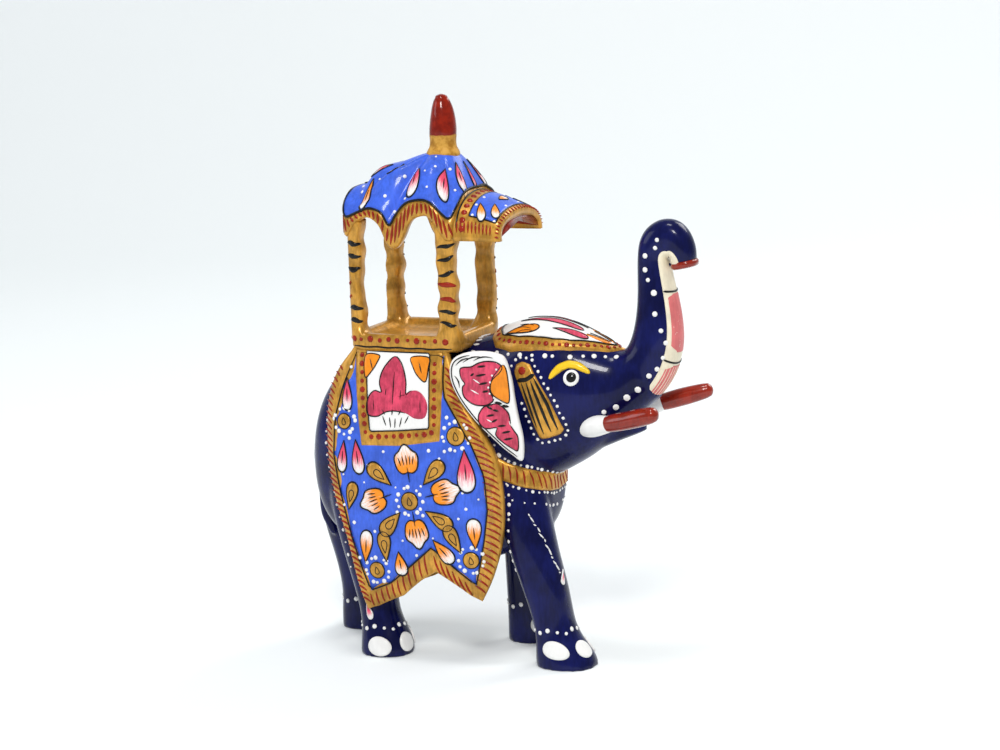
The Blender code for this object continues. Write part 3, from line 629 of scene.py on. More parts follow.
def rod(piece, stations, around=20, rounds=5):
    """A round bar through (x, y, z, radius) stations, smoothed, with a rounded cap at each end."""
    stations = np.asarray(stations, float)
    t = np.linspace(0, len(stations) - 1, len(stations) * 6)
    path = np.stack([knots_at(t, np.stack([np.arange(len(stations)), column], 1)) for column in stations.T],
        1)
    way = unit(np.gradient(path[:, :3], axis=0))
    caps = np.linspace(0, np.pi / 2, rounds + 1)[:-1]
    index = np.concatenate([np.zeros(rounds, int), np.arange(len(path)), np.full(rounds, len(path) - 1)])
    push = np.concatenate([-np.cos(caps), np.zeros(len(path)), np.cos(caps[::-1])])
    share = np.maximum(np.concatenate([np.sin(caps), np.ones(len(path)), np.sin(caps[::-1])]), 0.05)
    radius = path[index, 3]
    middle = path[index, :3] + way[index] * (push * radius * 0.8)[:, None]
    side = unit(np.cross(way[index], [0.0, 0.0, 1.0]))
    rise = np.cross(side, way[index])
    angle = 2 * np.pi * np.arange(around) / around
    reach = (radius * share)[:, None, None]
    rings = middle[:, None] + reach * (side[:, None] * np.cos(angle)[:, None] + rise[:,
        None] * np.sin(angle)[:, None])
    return piece.add(rings[None], middle[0], middle[-1])


class Skin:
    """A finished piece as something to paint on: the nearest place of it to any point, and the way out
    there."""

    def __init__(self, obj):
        self.tree = BVHTree.FromObject(obj, bpy.context.evaluated_depsgraph_get())

    def near(self, points):
        flat = (np.reshape(points, (-1, 3)) + (AXIS_X, 0, 0)) * MM
        found = [self.tree.find_nearest(point)[:2] for point in map(Vector, flat)]
        places = np.array([place for place, _ in found]) / MM - (AXIS_X, 0, 0)
        return places.reshape(np.shape(points)), np.array([way for _, way in found]).reshape(np.shape(points))

    def dots(self, piece, points, radius, height=0.3):
        """Dots at the places nearest to these points."""
        places, normals = self.near(np.asarray(points, float))
        domes(piece, places, normals, unit(np.cross(normals, (0.31, 0.17, 0.93))), radius, height)

    def ribbon(self, path, sign):
        """A canvas along a path: p runs along it from 0, q rises across it on the elephant's side sign."""
        fine, _ = along_path(path, spacing=0.4)
        at = np.concatenate([[0.0], np.cumsum(np.linalg.norm(np.diff(fine, axis=0), axis=1))])
        way = unit(np.gradient(fine, axis=0))

        def place(p, q, lift):
            p, q, lift = np.broadcast_arrays(*(np.asarray(v, float) for v in (p, q, lift)))
            start = np.stack([np.interp(p, at, column) for column in fine.T], -1)
            ahead = np.stack([np.interp(p, at, column) for column in way.T], -1)
            _, normal = self.near(start)
            up = unit(np.cross(normal, ahead)) * -sign
            spot, normal = self.near(start + up * q[..., None])
            return spot + normal * lift[..., None]

        return Canvas(place), at[-1]


# ---------------- paints and the pieces of one area

class ElephantColours(bpy.types.PropertyGroup):
    """The paints of the figure."""


class ElephantSizes(bpy.types.PropertyGroup):
    """The sizes a maker would change."""


def colour_property(name, description, *rgb):
    return bpy.props.FloatVectorProperty(name=name, description=description, subtype="COLOR", size=3,
        min=0.0, max=1.0, default=rgb)


def size_property(name, description, millimetres):
    return bpy.props.FloatProperty(name=name, description=description, subtype="DISTANCE", unit="LENGTH",
        min=0.0, default=millimetres * MM)


COLOURS = {
    "blue": ("Blue", "Periwinkle blue of the cloths and the roof", 0.045, 0.118, 0.63),
    "gold": ("Gold", "Ochre gold of the howdah and the borders", 0.60, 0.30, 0.045),
    "white": ("White", "White of the ears, panels and dots", 0.86, 0.85, 0.83),
    "cream": ("Cream", "Cream under the trunk", 0.84, 0.76, 0.58),
    "pink": ("Pink", "Crimson pink of the petals", 0.62, 0.06, 0.12),
    "salmon": ("Salmon", "Salmon pink under the trunk", 0.68, 0.17, 0.17),
    "orange": ("Orange", "Orange of the petals and the ear", 0.85, 0.26, 0.015),
    "stroke_red": ("Stroke red", "Red brown of the border strokes and dots", 0.28, 0.018, 0.006),
    "brick": ("Brick red", "Brick red enamel of the tusks and the finial", 0.25, 0.015, 0.004),
    "yellow": ("Yellow", "Yellow of the brows", 0.88, 0.55, 0.02),
    "black": ("Black", "Black of the outlines", 0.006, 0.006, 0.006),
}
SIZES = {
    "voxel": ("Skin grain", "Voxel size of the carved skin", 0.6),
    "howdah_voxel": ("Howdah grain", "Voxel size of the howdah's posts and tray", 0.36),
    "dot": ("Dot radius", "Radius of a small white dot", 0.5),
    "line": ("Line width", "Width of a black outline", 0.42),
    "stroke": ("Stroke width", "Width of a red border stroke", 0.62),
    "relief": ("Relief step", "Spacing of the rays that feel the head and the legs", 0.5),
}
for key, words in COLOURS.items():
    ElephantColours.__annotations__[key] = colour_property(*words)
for key, words in SIZES.items():
    ElephantSizes.__annotations__[key] = size_property(*words)


def size(name):
    """A size of the sidebar's, in millimetres."""
    return getattr(bpy.context.scene.elephant_sizes, name) / MM


def colour(name, scale=1.0):
    """A colour of the sidebar's, with its channels scaled and held to 1."""
    return tuple(min(channel * scale, 1.0) for channel in getattr(bpy.context.scene.elephant_colours, name))


# Brushed paints: record slot, material name, scales of the light and dark streaks, worn colour, roughness,
# coat weight, and what else differs.
BRUSHED = {
    "blue": ("blue_paint", "blue_brushed", 1.25, 0.8, (0.55, 0.56, 0.72), 0.34, 0.3, {"wear": 0.035}),
    "gold": ("gold_paint", "gold_ochre", 1.2, 0.55, (0.16, 0.07, 0.02), 0.26, 0.3,
             {"metallic": 0.3, "wear": 0.07}),
    "white": ("white_paint", "white_gloss", 1.0, 0.93, (0.5, 0.46, 0.42), 0.25, 0.3, {}),
    "cream": ("white_paint", "cream_gloss", 1.05, 0.85, (0.5, 0.3, 0.2), 0.3, 0.3, {"wear": 0.03}),
    "pink": ("red_enamel", "pink_wash", 1.3, 0.55, (0.85, 0.5, 0.58), 0.32, 0.3, {"wear": 0.06}),
    "salmon": ("red_enamel", "salmon_wash", 1.1, 0.85, (0.84, 0.7, 0.6), 0.36, 0.2,
               {"streak": (1.0, 1.0, 0.1), "wear": 0.14}),
    "orange": ("gold_paint", "orange_wash", 1.1, 0.8, (0.9, 0.6, 0.3), 0.32, 0.3, {"wear": 0.03}),
    "stroke_red": ("red_enamel", "stroke_red_brown", 1.25, 0.75, (0.5, 0.2, 0.08), 0.3, 0.3, {}),
    "brick": ("red_enamel", "brick_enamel", 1.3, 0.75, (0.5, 0.22, 0.12), 0.16, 0.75, {"wear": 0.02}),
    "yellow": ("gold_paint", "yellow_brow", 1.05, 0.85, (0.9, 0.75, 0.4), 0.3, 0.3, {}),
    "black": ("navy_enamel", "black_line", 1.6, 0.8, (0.05, 0.05, 0.05), 0.3, 0.3, {}),
}
# Petal paints: record slot, then the colour and its scale at the stem, in the middle and at the far end.
PETALS = {
    "pink_petal": ("red_enamel", ("white", 1.0), ("pink", 1.25), ("pink", 0.9)),
    "orange_petal": ("gold_paint", ("orange", 1.0), ("orange", 1.1), ("white", 1.0)),
    "orange_drop": ("gold_paint", ("white", 1.0), ("orange", 1.1), ("orange", 0.8)),
}
SLOTS = {name: row[0] for rows in (BRUSHED, PETALS) for name, row in rows.items()}
MIXED = {}


def paint(name):
    """The material of a paint, mixed the first time it is asked for."""
    if name in BRUSHED and name not in MIXED:
        _, label, light, dark, worn, roughness, gloss, more = BRUSHED[name]
        MIXED[name] = brushed_paint(label, colour(name, light), colour(name, dark), worn, roughness, gloss,
            **more)
    elif name not in MIXED:
        MIXED[name] = petal_paint(name, *(colour(*stop) for stop in PETALS[name][1:]))
    return MIXED[name]


def painted(piece_name, name):
    """A new piece in one of the paints."""
    return Piece(piece_name, SLOTS[name], paint(name))


class Coat:
    """The painted pieces of one area, one mesh to a colour, made as they are first asked for."""

    def __init__(self, area):
        self.area, self.pieces = area, {}

    def __getitem__(self, name):
        if name not in self.pieces:
            self.pieces[name] = painted(f"{self.area}_{name}", name)
        return self.pieces[name]

    def finish(self):
        for piece in self.pieces.values():
            piece.finish()


# ---------------- the carved elephant

TORSO = Loft([(-40.3, 59, -40.5, 43, 5), (-37.8, 68.9, -38.2, 33.9, 9.5), (-32.4, 76.7, -33.4, 28.2, 12.6),
    (-23.7, 82.4, -25.5, 25.9, 14.6), (-10.6, 84.4, -13, 20.4, 15.6), (3.4, 84.8, 1, 18.6, 15.6),
    (14.3, 82.8, 13, 25.4, 14.6), (23.4, 72.5, 23.2, 29.5, 12.8), (28.9, 58.2, 28.5, 35.2, 8.6),
    (30.3, 51.2, 30.1, 41.2, 4.5)])
HEAD = Loft([(1.4, 83.4, 10, 49, 11), (6.5, 85.8, 20.9, 47.1, 12), (12, 86.9, 31.2, 48.6, 12.5),
    (20.6, 90.8, 35.6, 51.2, 13.2), (30.7, 91.8, 40.2, 53.8, 13), (39.6, 88, 44.9, 57.8, 11.4),
    (45.5, 85, 50, 61.9, 9.4), (49.4, 83, 54.2, 66.2, 7.9), (52, 85.3, 61.5, 72.4, 7.2)])
LIP = Loft([(38.5, 61.9, 39.2, 54.8, 5), (46.7, 65, 46.9, 58.5, 4.6), (52.7, 64.9, 53, 60.9, 3.4),
    (55.8, 64.2, 55.9, 62.4, 1.8)], around=8)
TRUNK = Loft([(45.9, 82.6, 50.6, 63.4, 8.2), (49.4, 83, 54.2, 66.2, 7.9), (51.5, 85.8, 62.5, 73.4, 7.2),
    (52.9, 90.3, 66.8, 83.2, 6.6), (53.9, 96.3, 66.2, 92.8, 5.8), (54.1, 102.3, 64.5, 100.5, 5.1),
    (54.2, 107.5, 63.3, 105.7, 4.8), (54.9, 114.4, 62.8, 107.5, 4.8), (60.4, 119, 63.3, 107.9, 4.8),
    (67.2, 118.4, 63.8, 107.9, 4.6), (70.9, 111.6, 63.9, 106.8, 4.3), (70.6, 105.6, 64, 105.4, 3.5)],
    around=8)


def leg_loft(*stations):
    """A leg from (z, rear x, front x, middle y, half width) stations."""
    return Loft([(front, z, rear, z, half, y) for z, rear, front, y, half in stations], around=8, power=2.5)


LEGS = {
    "front_right": leg_loft(
        (-7, 26.4, 43.2, -9.6, 7.6), (-1.5, 26.2, 44.2, -9.6, 8.1), (3, 25.9, 43.4, -9.6, 8),
        (9.1, 26.6, 37.3, -9.6, 5.7), (19.2, 23.4, 36.6, -9.8, 6.2), (29.3, 19.8, 33.6, -9.6, 6.6),
        (42.5, 14.7, 30.7, -8, 6.6), (56.6, 11.3, 27.3, -6, 5)),
    "front_left": leg_loft(
        (-6.3, 8.8, 22.3, 12, 6.3), (-0.8, 8.6, 23, 12, 6.8), (3.8, 8.6, 22.6, 12, 6.7),
        (9.8, 9, 21, 11.4, 5.9), (19.8, 9, 21.8, 10.6, 6.2), (29.7, 9.2, 23.8, 9.8, 6.6),
        (42.7, 8.7, 25.7, 8, 6.6), (56.7, 8.3, 26.3, 6, 5)),
    "rear_right": leg_loft(
        (-5, -24.6, -9.8, -11.6, 6.9), (0.5, -24.8, -8.9, -11.6, 7.4), (5, -24.4, -9.8, -11.4, 6.8),
        (11.1, -24.4, -14, -10.8, 5.3), (21.2, -27.7, -14.2, -10, 6.2), (31.3, -31.2, -14.2, -9.4, 6.8),
        (44.4, -35.2, -14.7, -8, 7), (58.4, -34.7, -15.7, -6, 5)),
    "rear_left": leg_loft(
        (-4.2, -42.2, -28.6, 12.2, 6.3), (1.3, -42.4, -27.8, 12.2, 6.8), (5.8, -42.2, -28.2, 12, 6.6),
        (11.8, -41.4, -28.7, 11.4, 5.8), (21.7, -43.4, -27.4, 10.8, 6.3), (31.7, -46.8, -24.8, 10, 7.2),
        (44.6, -46.4, -19.8, 8.6, 7.4), (58.5, -41, -17.7, 5.8, 5.4)),
}
TAIL = ((-36.4, 0.6, 64.9, 1.4), (-39.2, 1, 61, 1.6), (-41.7, 1.6, 54.1, 1.6), (-42.5, 2.4, 47.1, 1.5),
    (-42.2, 3.2, 40.1, 1.4), (-41.5, 3.6, 34, 1.8), (-39.9, 3.8, 28.5, 1.1))
SKIN_SMOOTHING = {"factor": 0.5, "iterations": 8}


def carve_skin():
    """Torso, neck, head, lip, trunk, tail and four legs, fused on a voxel grid as one gessoed and enamelled
    skin."""
    skin = Piece("enamel_skin", "navy_enamel", navy_enamel())
    for loft in (TORSO, HEAD, LIP, TRUNK):
        loft.shell(skin)
    for loft in LEGS.values():
        loft.shell(skin, floor=0.0)
    rod(skin, TAIL, around=14)
    return skin.finish("body", "head", "trunk",
        after=[("REMESH", {"mode": "VOXEL", "voxel_size": size("voxel") * MM, "use_smooth_shade": True}),
        ("SMOOTH", SKIN_SMOOTHING)])


SKIN = {}


def skin():
    """What the operators after the first paint on: the skin, and its sides and top felt by rays."""
    if not SKIN:
        obj = bpy.data.objects["enamel_skin"]
        SKIN["near"] = Skin(obj)
        for sign in (RIGHT, LEFT):
            SKIN[sign] = felt_canvas(obj, (12.0, 40.0), (58.0, 95.0), size("relief"), 1, sign * 60.0, 0.0)
        SKIN["top"] = felt_canvas(obj, (6.0, -14.0), (56.0, 14.0), size("relief"), 2, 94.0, 60.0)
    return SKIN


# ---------------- head: cap, eyes, brows and cheek bars

def paint_head(coat):
    """The cap with its border and petals, both cheeks, and the row of dots under the cap."""
    top = skin()["top"]
    edge = np.array([(13.6, 0), (14.3, -4.5), (16.4, -7.7), (21.5, -9.6), (27.4, -10.1), (33, -9.8),
        (38, -8.5), (43, -6.2), (47, -3.8), (50.2, 0)], float)
    middle = np.array([30.0, 0.0])
    field = np.array([(16.4, 0), (17, -3.5), (18.6, -6.1), (23.7, -7.7), (29, -8.1), (33.5, -7.9),
        (38, -6.6), (42, -4.4), (45.5, -2.2), (47.6, 0)], float)
    edge, field = (along_path(anticlockwise(np.concatenate([half, half[-2:0:-1] * (1, -1)])), 96,
        closed=True)[0] - middle for half in (edge, field))
    shape(coat["gold"], top, middle, edge, 0.75, steps=18)
    shape(coat["white"], top, middle, field, 0.14, lift=0.75, steps=18)
    outline_stroke(coat["black"], top, middle, field, 0.34, lift=0.8)
    spots = along_path(offset(field, 1.0) + middle, 46, closed=True)[0]
    dots(coat["stroke_red"], lifted(top, 0.72), spots, np.where(np.arange(46) % 3 == 0, 0.72, 0.5), 0.22)
    high = lifted(top, 0.9)
    for sign in (RIGHT, LEFT):
        outlined(coat, "orange", high, (24.0, 6.0 * sign), teardrop(), 0.14, 0.4, 0.24, -1.62 * sign,
            (2.1, 4.6))
        strokes(coat["black"], high, lines(((21.5, 5.6 * sign), (26.5, 6.2 * sign)),
            ((22.5, 6.8 * sign), (27.5, 6.9 * sign)), ((23, 4.6 * sign), (27, 5.3 * sign)), bend=0.08), 0.3,
            0.26)
        for x, y, turn, wide in ((36.6, 4.6, -1.75, (1.7, 4.6)), (30.5, 1.9, -1.62, (2.2, 8.4))):
            outlined(coat, "pink", high, (x, y * sign), teardrop(), 0.14, 0.34, 0.24, turn * sign, wide)
        shape(coat["orange"], high, (43.0, 1.9 * sign), teardrop(), 0.14, -1.9 * sign, (1.5, 3.6))
        strokes(coat["black"], high, lines(((40.2, 2.6 * sign), (45.6, 1.0 * sign)),
            ((40.6, 1.4 * sign), (45.8, 0.4 * sign)), bend=0.05), 0.3, 0.26)
        paint_face(coat, skin()[sign])
    row = [(17.3, -8.9, 82.9), (21, -9.8, 82.8), (24.6, -10.3, 82.8), (28.2, -10.6, 82.9),
        (31.8, -10.3, 82.8), (33.8, -10, 82.7), (38.3, -9, 82.4), (41.5, -7.9, 82.6), (44.1, -6.8, 82.6),
        (46.8, -5.6, 82.4), (49.4, -4.6, 82.3)]
    for sign in (RIGHT, LEFT):
        points = np.array(row) * (1, -sign, 1)
        skin()["near"].dots(coat["white"], points, np.where(np.arange(len(row)) % 2, 0.5, 0.72), 0.3)


BAR_LINES = (
    (((25.8, 75.9), (28, 69.8), (29.7, 64.2)), 0.7),
    (((27.2, 76), (29.6, 68.5), (31.4, 62.6)), 0.8),
    (((28.4, 76.5), (31.3, 69.4), (33.5, 63.2)), 0.95),
    (((29.3, 77.3), (33, 70.5), (35.4, 63.8)), 1))


def paint_face(coat, side):
    """One cheek: eye with a painted highlight on its pupil, brow, and the striped bar with its ring of dots.
    """
    eye = (39.2, 77.4)
    shape(coat["white"], side, eye, oval(), 0.32, size=(2.05, 2.1))
    shape(coat["black"], side, (39.25, 77.55), oval(), 0.2, size=(1.28, 1.3), lift=0.3)
    # Painted highlight: a small white dot on the pupil stands in for the glint of light on the glossy eye.
    dots(coat["white"], lifted(side, 0.48), [(39.5, 77.9)], 0.2, 0.12)
    brow = [(33.5, 77.2), (34.6, 78.6), (36.2, 80.1), (38.2, 80.9), (40.4, 80.6), (42.4, 79.5), (43.8, 78.6)]
    strokes(coat["yellow"], side, along_path(brow, 24)[0], 2.1, 0.4, taper=0.25, closed_ends=0.3)
    bar = anticlockwise(along_path([(24.3, 76.4), (23.3, 78.6), (23.9, 80.5), (25.7, 81.3), (27.9, 80.6),
        (29.1, 78.5), (33.6, 71.4), (36.9, 63.7), (35.7, 62.4), (32.2, 61.2), (30.2, 60.9), (29, 63.9),
        (27.1, 69.8)], 60, closed=True)[0])
    middle, outline = about_middle(bar)
    shape(coat["gold"], side, middle, outline, 0.55, steps=7)
    high = lifted(side, 0.52)
    dots(coat["stroke_red"], high, [(25.9, 78.9)], 1.15, 0.25)
    strokes(coat["black"], high, along_path([(24.5, 76.3), (27.2, 76.7), (29.5, 78.2)], 12)[0], 1.25, 0.2,
        taper=0.15)
    for path, width in BAR_LINES:
        strokes(coat["black"], high, along_path(path, 16)[0], width, 0.18, taper=0.3)
    ring = along_path(offset(bar, 1.15), spacing=1.75, closed=True)[0]
    ring = ring[~((ring[:, 0] < 25.0) & (ring[:, 1] < 79.0))]
    jitter = np.sin(np.arange(len(ring)) * 2.4) * 0.12
    dots(coat["white"], side, ring + jitter[:, None], 0.42 + jitter * 0.4, 0.3)


# ---------------- trunk, tusks and ears

BAND_HALF_TURN = 0.145


def paint_trunk(coat):
    """The cream underside with its pink lengths and black lines, the dots beside it, and the red lip."""
    middle = 0.75

    def strip(name, first, last, height, half=BAND_HALF_TURN, count=60):
        s = np.linspace(first, last, count)
        ends = np.clip(np.minimum(s - first, last - s) / 0.15, 0.25, 1) ** 0.5
        band(coat[name], TRUNK.place, s, middle - half * ends, middle + half * ends, columns=18,
            height=height, sink=0.9)

    wide = np.interp(np.linspace(0.95, 11, 130), (0, 8.6, 10.2, 11), (0.145, 0.145, 0.22, 0.24))
    strip("cream", 0.95, 11.0, 0.28, wide, count=130)
    strip("salmon", 3.0, 4.78, 0.36, 0.125)
    strip("salmon", 1.1, 2.62, 0.36, 0.125)
    for s in (4.86, 2.70):
        a = np.linspace(middle - BAND_HALF_TURN, middle + BAND_HALF_TURN, 20)
        path = np.stack([np.full(20, s), a], 1)
        strokes(coat["black"], lifted(TRUNK, 0.3), path, 0.55, 0.22, taper=0.05)
    run = np.linspace(0, 1, 9)
    paths = [np.stack([2.6 - 1.1 * run, middle - 0.10 + 0.025 * k + 0 * run], 1) for k in range(9)]
    strokes(coat["cream"], lifted(TRUNK, 0.33), paths, 0.25, 0.12)
    lip = np.stack([np.full(60, 10.9), np.linspace(0, 1, 60)], 1)
    strokes(coat["brick"], TRUNK, lip, 1.9, 0.5, taper=0.9, closed_ends=1.0)
    row = np.array([(61.5, -4.3, 113), (60.9, -4.2, 110.9), (58.1, -4.2, 108.8), (58, -4.3, 105.2),
        (58.8, -4.6, 102.6), (60.4, -4.7, 99.3), (60.7, -5.2, 93.9), (62.3, -5.3, 89.6), (63.3, -4.7, 86.4),
        (62.5, -4.9, 82.5), (60.9, -5.3, 79.6), (58.9, -6, 77.8), (55.9, -6.3, 74.3), (52.9, -6.7, 72.2),
        (50.2, -7.8, 69.6), (47.7, -10, 68.1)])
    radius = np.array([0.6, 0.6, 0.75, 0.75, 0.6, 0.85, 0.75, 0.65, 0.7, 0.65, 0.7, 0.75, 0.9, 0.95, 0.85,
        0.7])
    for sign in (RIGHT, LEFT):
        skin()["near"].dots(coat["white"], row * (1, -sign, 1), radius, 0.35)


TUSK_ROOT = {
    RIGHT: ((41.2, 7.6, 63.6, 2.3), (43.4, 8.6, 64.2, 2.75), (46, 9.6, 64.9, 2.7),
            (48.4, 10.3, 65.4, 2.3)),
    LEFT: ((41.2, 7.6, 63.6, 2.3), (46, 9.4, 64.8, 2.75), (51.6, 11.1, 66.3, 2.6),
            (54.8, 12.0, 67.2, 2.3)),
}
TUSK_ROD = {
    RIGHT: ((47.6, 10.1, 65.2, 1.9), (50.5, 10.9, 66, 2.3), (54.7, 12, 67, 2.35),
            (58.2, 12.9, 68, 2.4), (61.6, 13.7, 68.9, 2.2), (62.6, 13.9, 69.2, 2)),
    LEFT: ((54, 11.8, 67, 1.9), (56.4, 12.4, 67.7, 2.3), (60, 13.4, 68.7, 2.4),
            (63.4, 14.3, 69.6, 2.3), (66, 15, 70.3, 2.1), (67, 15.2, 70.6, 1.9)),
}

EAR = ((22.6, 82.6), (20.4, 83.9), (17.5, 84.4), (14, 84.3), (11, 83.6), (8.9, 82.3), (7.9, 80),
    (8.1, 76.8), (9.6, 73), (12, 69.2), (15, 65.4), (18.2, 62.2), (21.4, 59.2), (24, 57.2), (25.9, 55.9),
    (26.6, 57.4), (26.6, 62), (25.6, 67), (24.8, 72), (24.1, 77.6))
EAR_LOBE = ((12.2, 77.7), (12.2, 80.2), (15, 80.6), (17, 81.6), (19.1, 82.1), (21.7, 81.9), (23.3, 80.7),
    (22.7, 79.2), (20.6, 77.2), (19.8, 74.5), (20.7, 71.9), (18.7, 70.5), (16, 70.5), (14, 71.5),
    (12.7, 73), (12.5, 75.1), (13.2, 76.1))
EAR_FOOT = ((21.3, 70.8), (19.3, 70.6), (17.3, 69.9), (15.9, 67.5), (16.4, 65), (18.4, 64.3), (20.8, 64.6),
    (20.4, 62.6), (22.3, 60.7), (24.9, 59), (26.2, 58.7), (26.3, 62.1), (25.4, 63.7), (24.5, 65.3),
    (23.9, 68.6))
EAR_FRONT = ((23.4, 81.2), (21.8, 79.4), (20.5, 77.6), (19.9, 75.1), (20.4, 73.4), (21.8, 72.3),
    (24.3, 71.1), (24.9, 72.4), (24.8, 75.9), (24.3, 79.9))
EAR_PLANE = 13.5
EAR_LEAN = 0.15
EAR_HINGE = 31.0
EAR_THICKNESS = 1.95


def make_ear(sign):
    """A puffed white plate on a leaning plane, with its painted lobes, half disc, outlines and dashes."""
    plane = height_canvas(lambda x, z: EAR_PLANE + EAR_LEAN * (EAR_HINGE - x) + 0 * z,
        lambda p, q, h: (p, h * sign, q))
    coat = Coat(f"ear_{SIDE_NAMES[sign]}")
    outline = anticlockwise(smooth_loop(EAR, 120))
    middle, local = about_middle(outline)
    plate = painted(f"ear_{SIDE_NAMES[sign]}_plate", "white")
    shape(plate, plane, middle, local, EAR_THICKNESS, rings=(1, 1.012, 1.015, 1, 0.97, 0.9, 0.7, 0.45, 0.2),
        profile=(0, 0.18, 0.55, 0.84, 0.96, 1, 1, 1, 1), bottom=0)
    plate.finish(f"ear_{SIDE_NAMES[sign]}")
    face = lifted(plane, EAR_THICKNESS)
    for name, corners, back in (("pink", EAR_LOBE, 1.3), ("pink", EAR_FOOT, 0.7), ("orange", EAR_FRONT, 1.2)):
        loop = anticlockwise(smooth_loop(corners, 72)) - (back, 0)
        centre, about = about_middle(loop)
        outlined(coat, name, face, centre, about, steps=5)
    edge = offset(outline, -0.55)
    centre, about = about_middle(edge)
    outline_stroke(coat["black"], face, centre, about, 0.34, height=0.16, part=(0.12, 0.62))
    dashes = lines(((16.3, 80.6), (18.6, 80.9)), ((15.8, 78.2), (18.6, 78.7)), ((16.6, 76), (19, 76.5)),
        ((17.4, 74), (19.2, 74.3)), ((14.4, 78.2), (15.4, 78.9)), ((18.4, 70.3), (20, 69.4)),
        ((18.3, 67.6), (20.4, 68)), ((20, 69.3), (21.6, 69)), ((22.2, 63.2), (24.6, 63.7)),
        ((22.6, 61.4), (25.2, 61.9)), ((21.2, 65), (23.4, 65.2)), ((19.6, 66), (21.2, 66.8)),
        ((20.6, 71.3), (22.6, 70.9)), ((22.4, 70.4), (24.4, 70.2)))
    strokes(coat["black"], face, dashes - (0.9, 0), 0.78, 0.24, taper=0.35)
    strokes(coat["white"], face, lines(((13.4, 74.6), (15.6, 73.4)), ((14.2, 77.4), (16, 76.2)),
        ((17.4, 66.8), (18.9, 66)), ((23.4, 66.4), (24, 64.9))), 0.5, 0.2)
    strokes(coat["black"], face, lines(((9.6, 80.9), (13.6, 82.9)), ((11.6, 81.7), (17.0, 83.2)),
        ((14.4, 82.2), (19.6, 83)), ((9.2, 78.2), (10.4, 75)), bend=0.12), 0.42, 0.18)
    trim = [(18.7, 76.6), (18.2, 75.2), (18.5, 73.6), (19.3, 78.4), (20.5, 80), (19.6, 72.5)]
    dots(coat["white"], lifted(face, 0.12), trim, 0.3, 0.15)
    coat.finish()


def smooth_loop(corners, count):
    """A closed curve through the corners, its slope at each one taken from the corners on either side of
    it."""
    corners = np.asarray(corners, float)
    t = np.linspace(0, len(corners), count, endpoint=False)
    i = np.floor(t).astype(int)
    f = (t - i)[:, None]
    before, here, after, beyond = (corners[(i + k) % len(corners)] for k in (-1, 0, 1, 2))
    return 0.5 * (2 * here + (after - before) * f + (2 * before - 5 * here + 4 * after - beyond) * f * f
        + (3 * here - before - 3 * after + beyond) * f ** 3)


def lifted(canvas, by):
    """The same canvas, raised."""
    return Canvas(lambda p, q, lift: canvas.place(p, q, np.asarray(lift, float) + by))


def grid_value(grid, u, v):
    """Bilinear value of a grid at fractional places (u, v)."""
    u = np.clip(u, 0, grid.shape[0] - 1.001)
    v = np.clip(v, 0, grid.shape[1] - 1.001)
    i, k = u.astype(int), v.astype(int)
    u, v = u - i, v - k
    return (grid[i, k] * (1 - u) + grid[i + 1, k] * u) * (1 - v) + (grid[i, k + 1] * (1 - u) + grid[i + 1,
        k + 1] * u) * v


# ---------------- legs, feet, neck band and rump

def paint_feet(coat):
    """Toenails, a ring of dots above each foot, and the sprig and dashes on the near fore leg."""
    nails = {RIGHT: (0.485, 0.285, 0.12), LEFT: (0.015, 0.215, 0.38)}
    for name, leg in LEGS.items():
        sign = RIGHT if name.endswith("right") else LEFT
        fore = name.startswith("front")
        for share, wide, s in zip(nails[sign], (3.9, 3, 2.4), (2.34, 2.3, 2.2) if fore else (1.55, 1.66,
                1.7)):
            half = wide if fore else wide * 0.92
            nail = oval(28) * (1.0, 1.05)
            shape(coat["white"], leg.near(s, share), (0.0, 0.0), nail, 0.42, size=(half, 2.5), steps=5)
        a = np.linspace(0.03, 0.97, 15)
        s = 3.02 if fore else 2.45
        ring = leg.near(s, 0.25)
        turn = float(np.linalg.norm(leg.at(s, 0.26) - leg.at(s, 0.24)) / 0.02)
        count = np.arange(15)
        dots(coat["white"], ring, np.stack([(a - 0.25) * turn, 0.5 * np.sin(count * 2.1)], 1),
            0.56 + 0.14 * np.cos(count * 1.7), 0.3)
    near = skin()["near"]
    for sign in (RIGHT, LEFT):
        flip = np.array((1, -sign, 1))
        for x, y, z in ((34.5, -10.2, 24), (-20, -16.6, 12.2)):
            spot, _ = near.ribbon(np.array([(x - 2, y - 0.4, z), (x, y, z), (x + 2, y + 1.0, z)]) * flip,
                sign)
            shape(coat["pink_petal"], spot, (2.0, 0), teardrop(), 0.3, 0.35, (1.5, 2.1))
            outline_stroke(coat["white"], spot, (2.0, 0), teardrop(), 0.3, 0.35, (1.6, 2.2))
        dash = np.array([(26.8, -13.6, 41), (30.4, -13, 35), (33.6, -12.4, 28.8), (35.6, -11.2, 25.6)]) * flip
        path, length = near.ribbon(dash, sign)
        p = np.linspace(0.0, length, 12)
        reach = 0.7 + 0.35 * np.sin(np.arange(12) * 2.1)
        strokes(coat["white"], path, lines(*spans(p - reach, 0.3 * np.sin(p * 1.7), p + reach, 0.2)), 0.45,
            0.28)


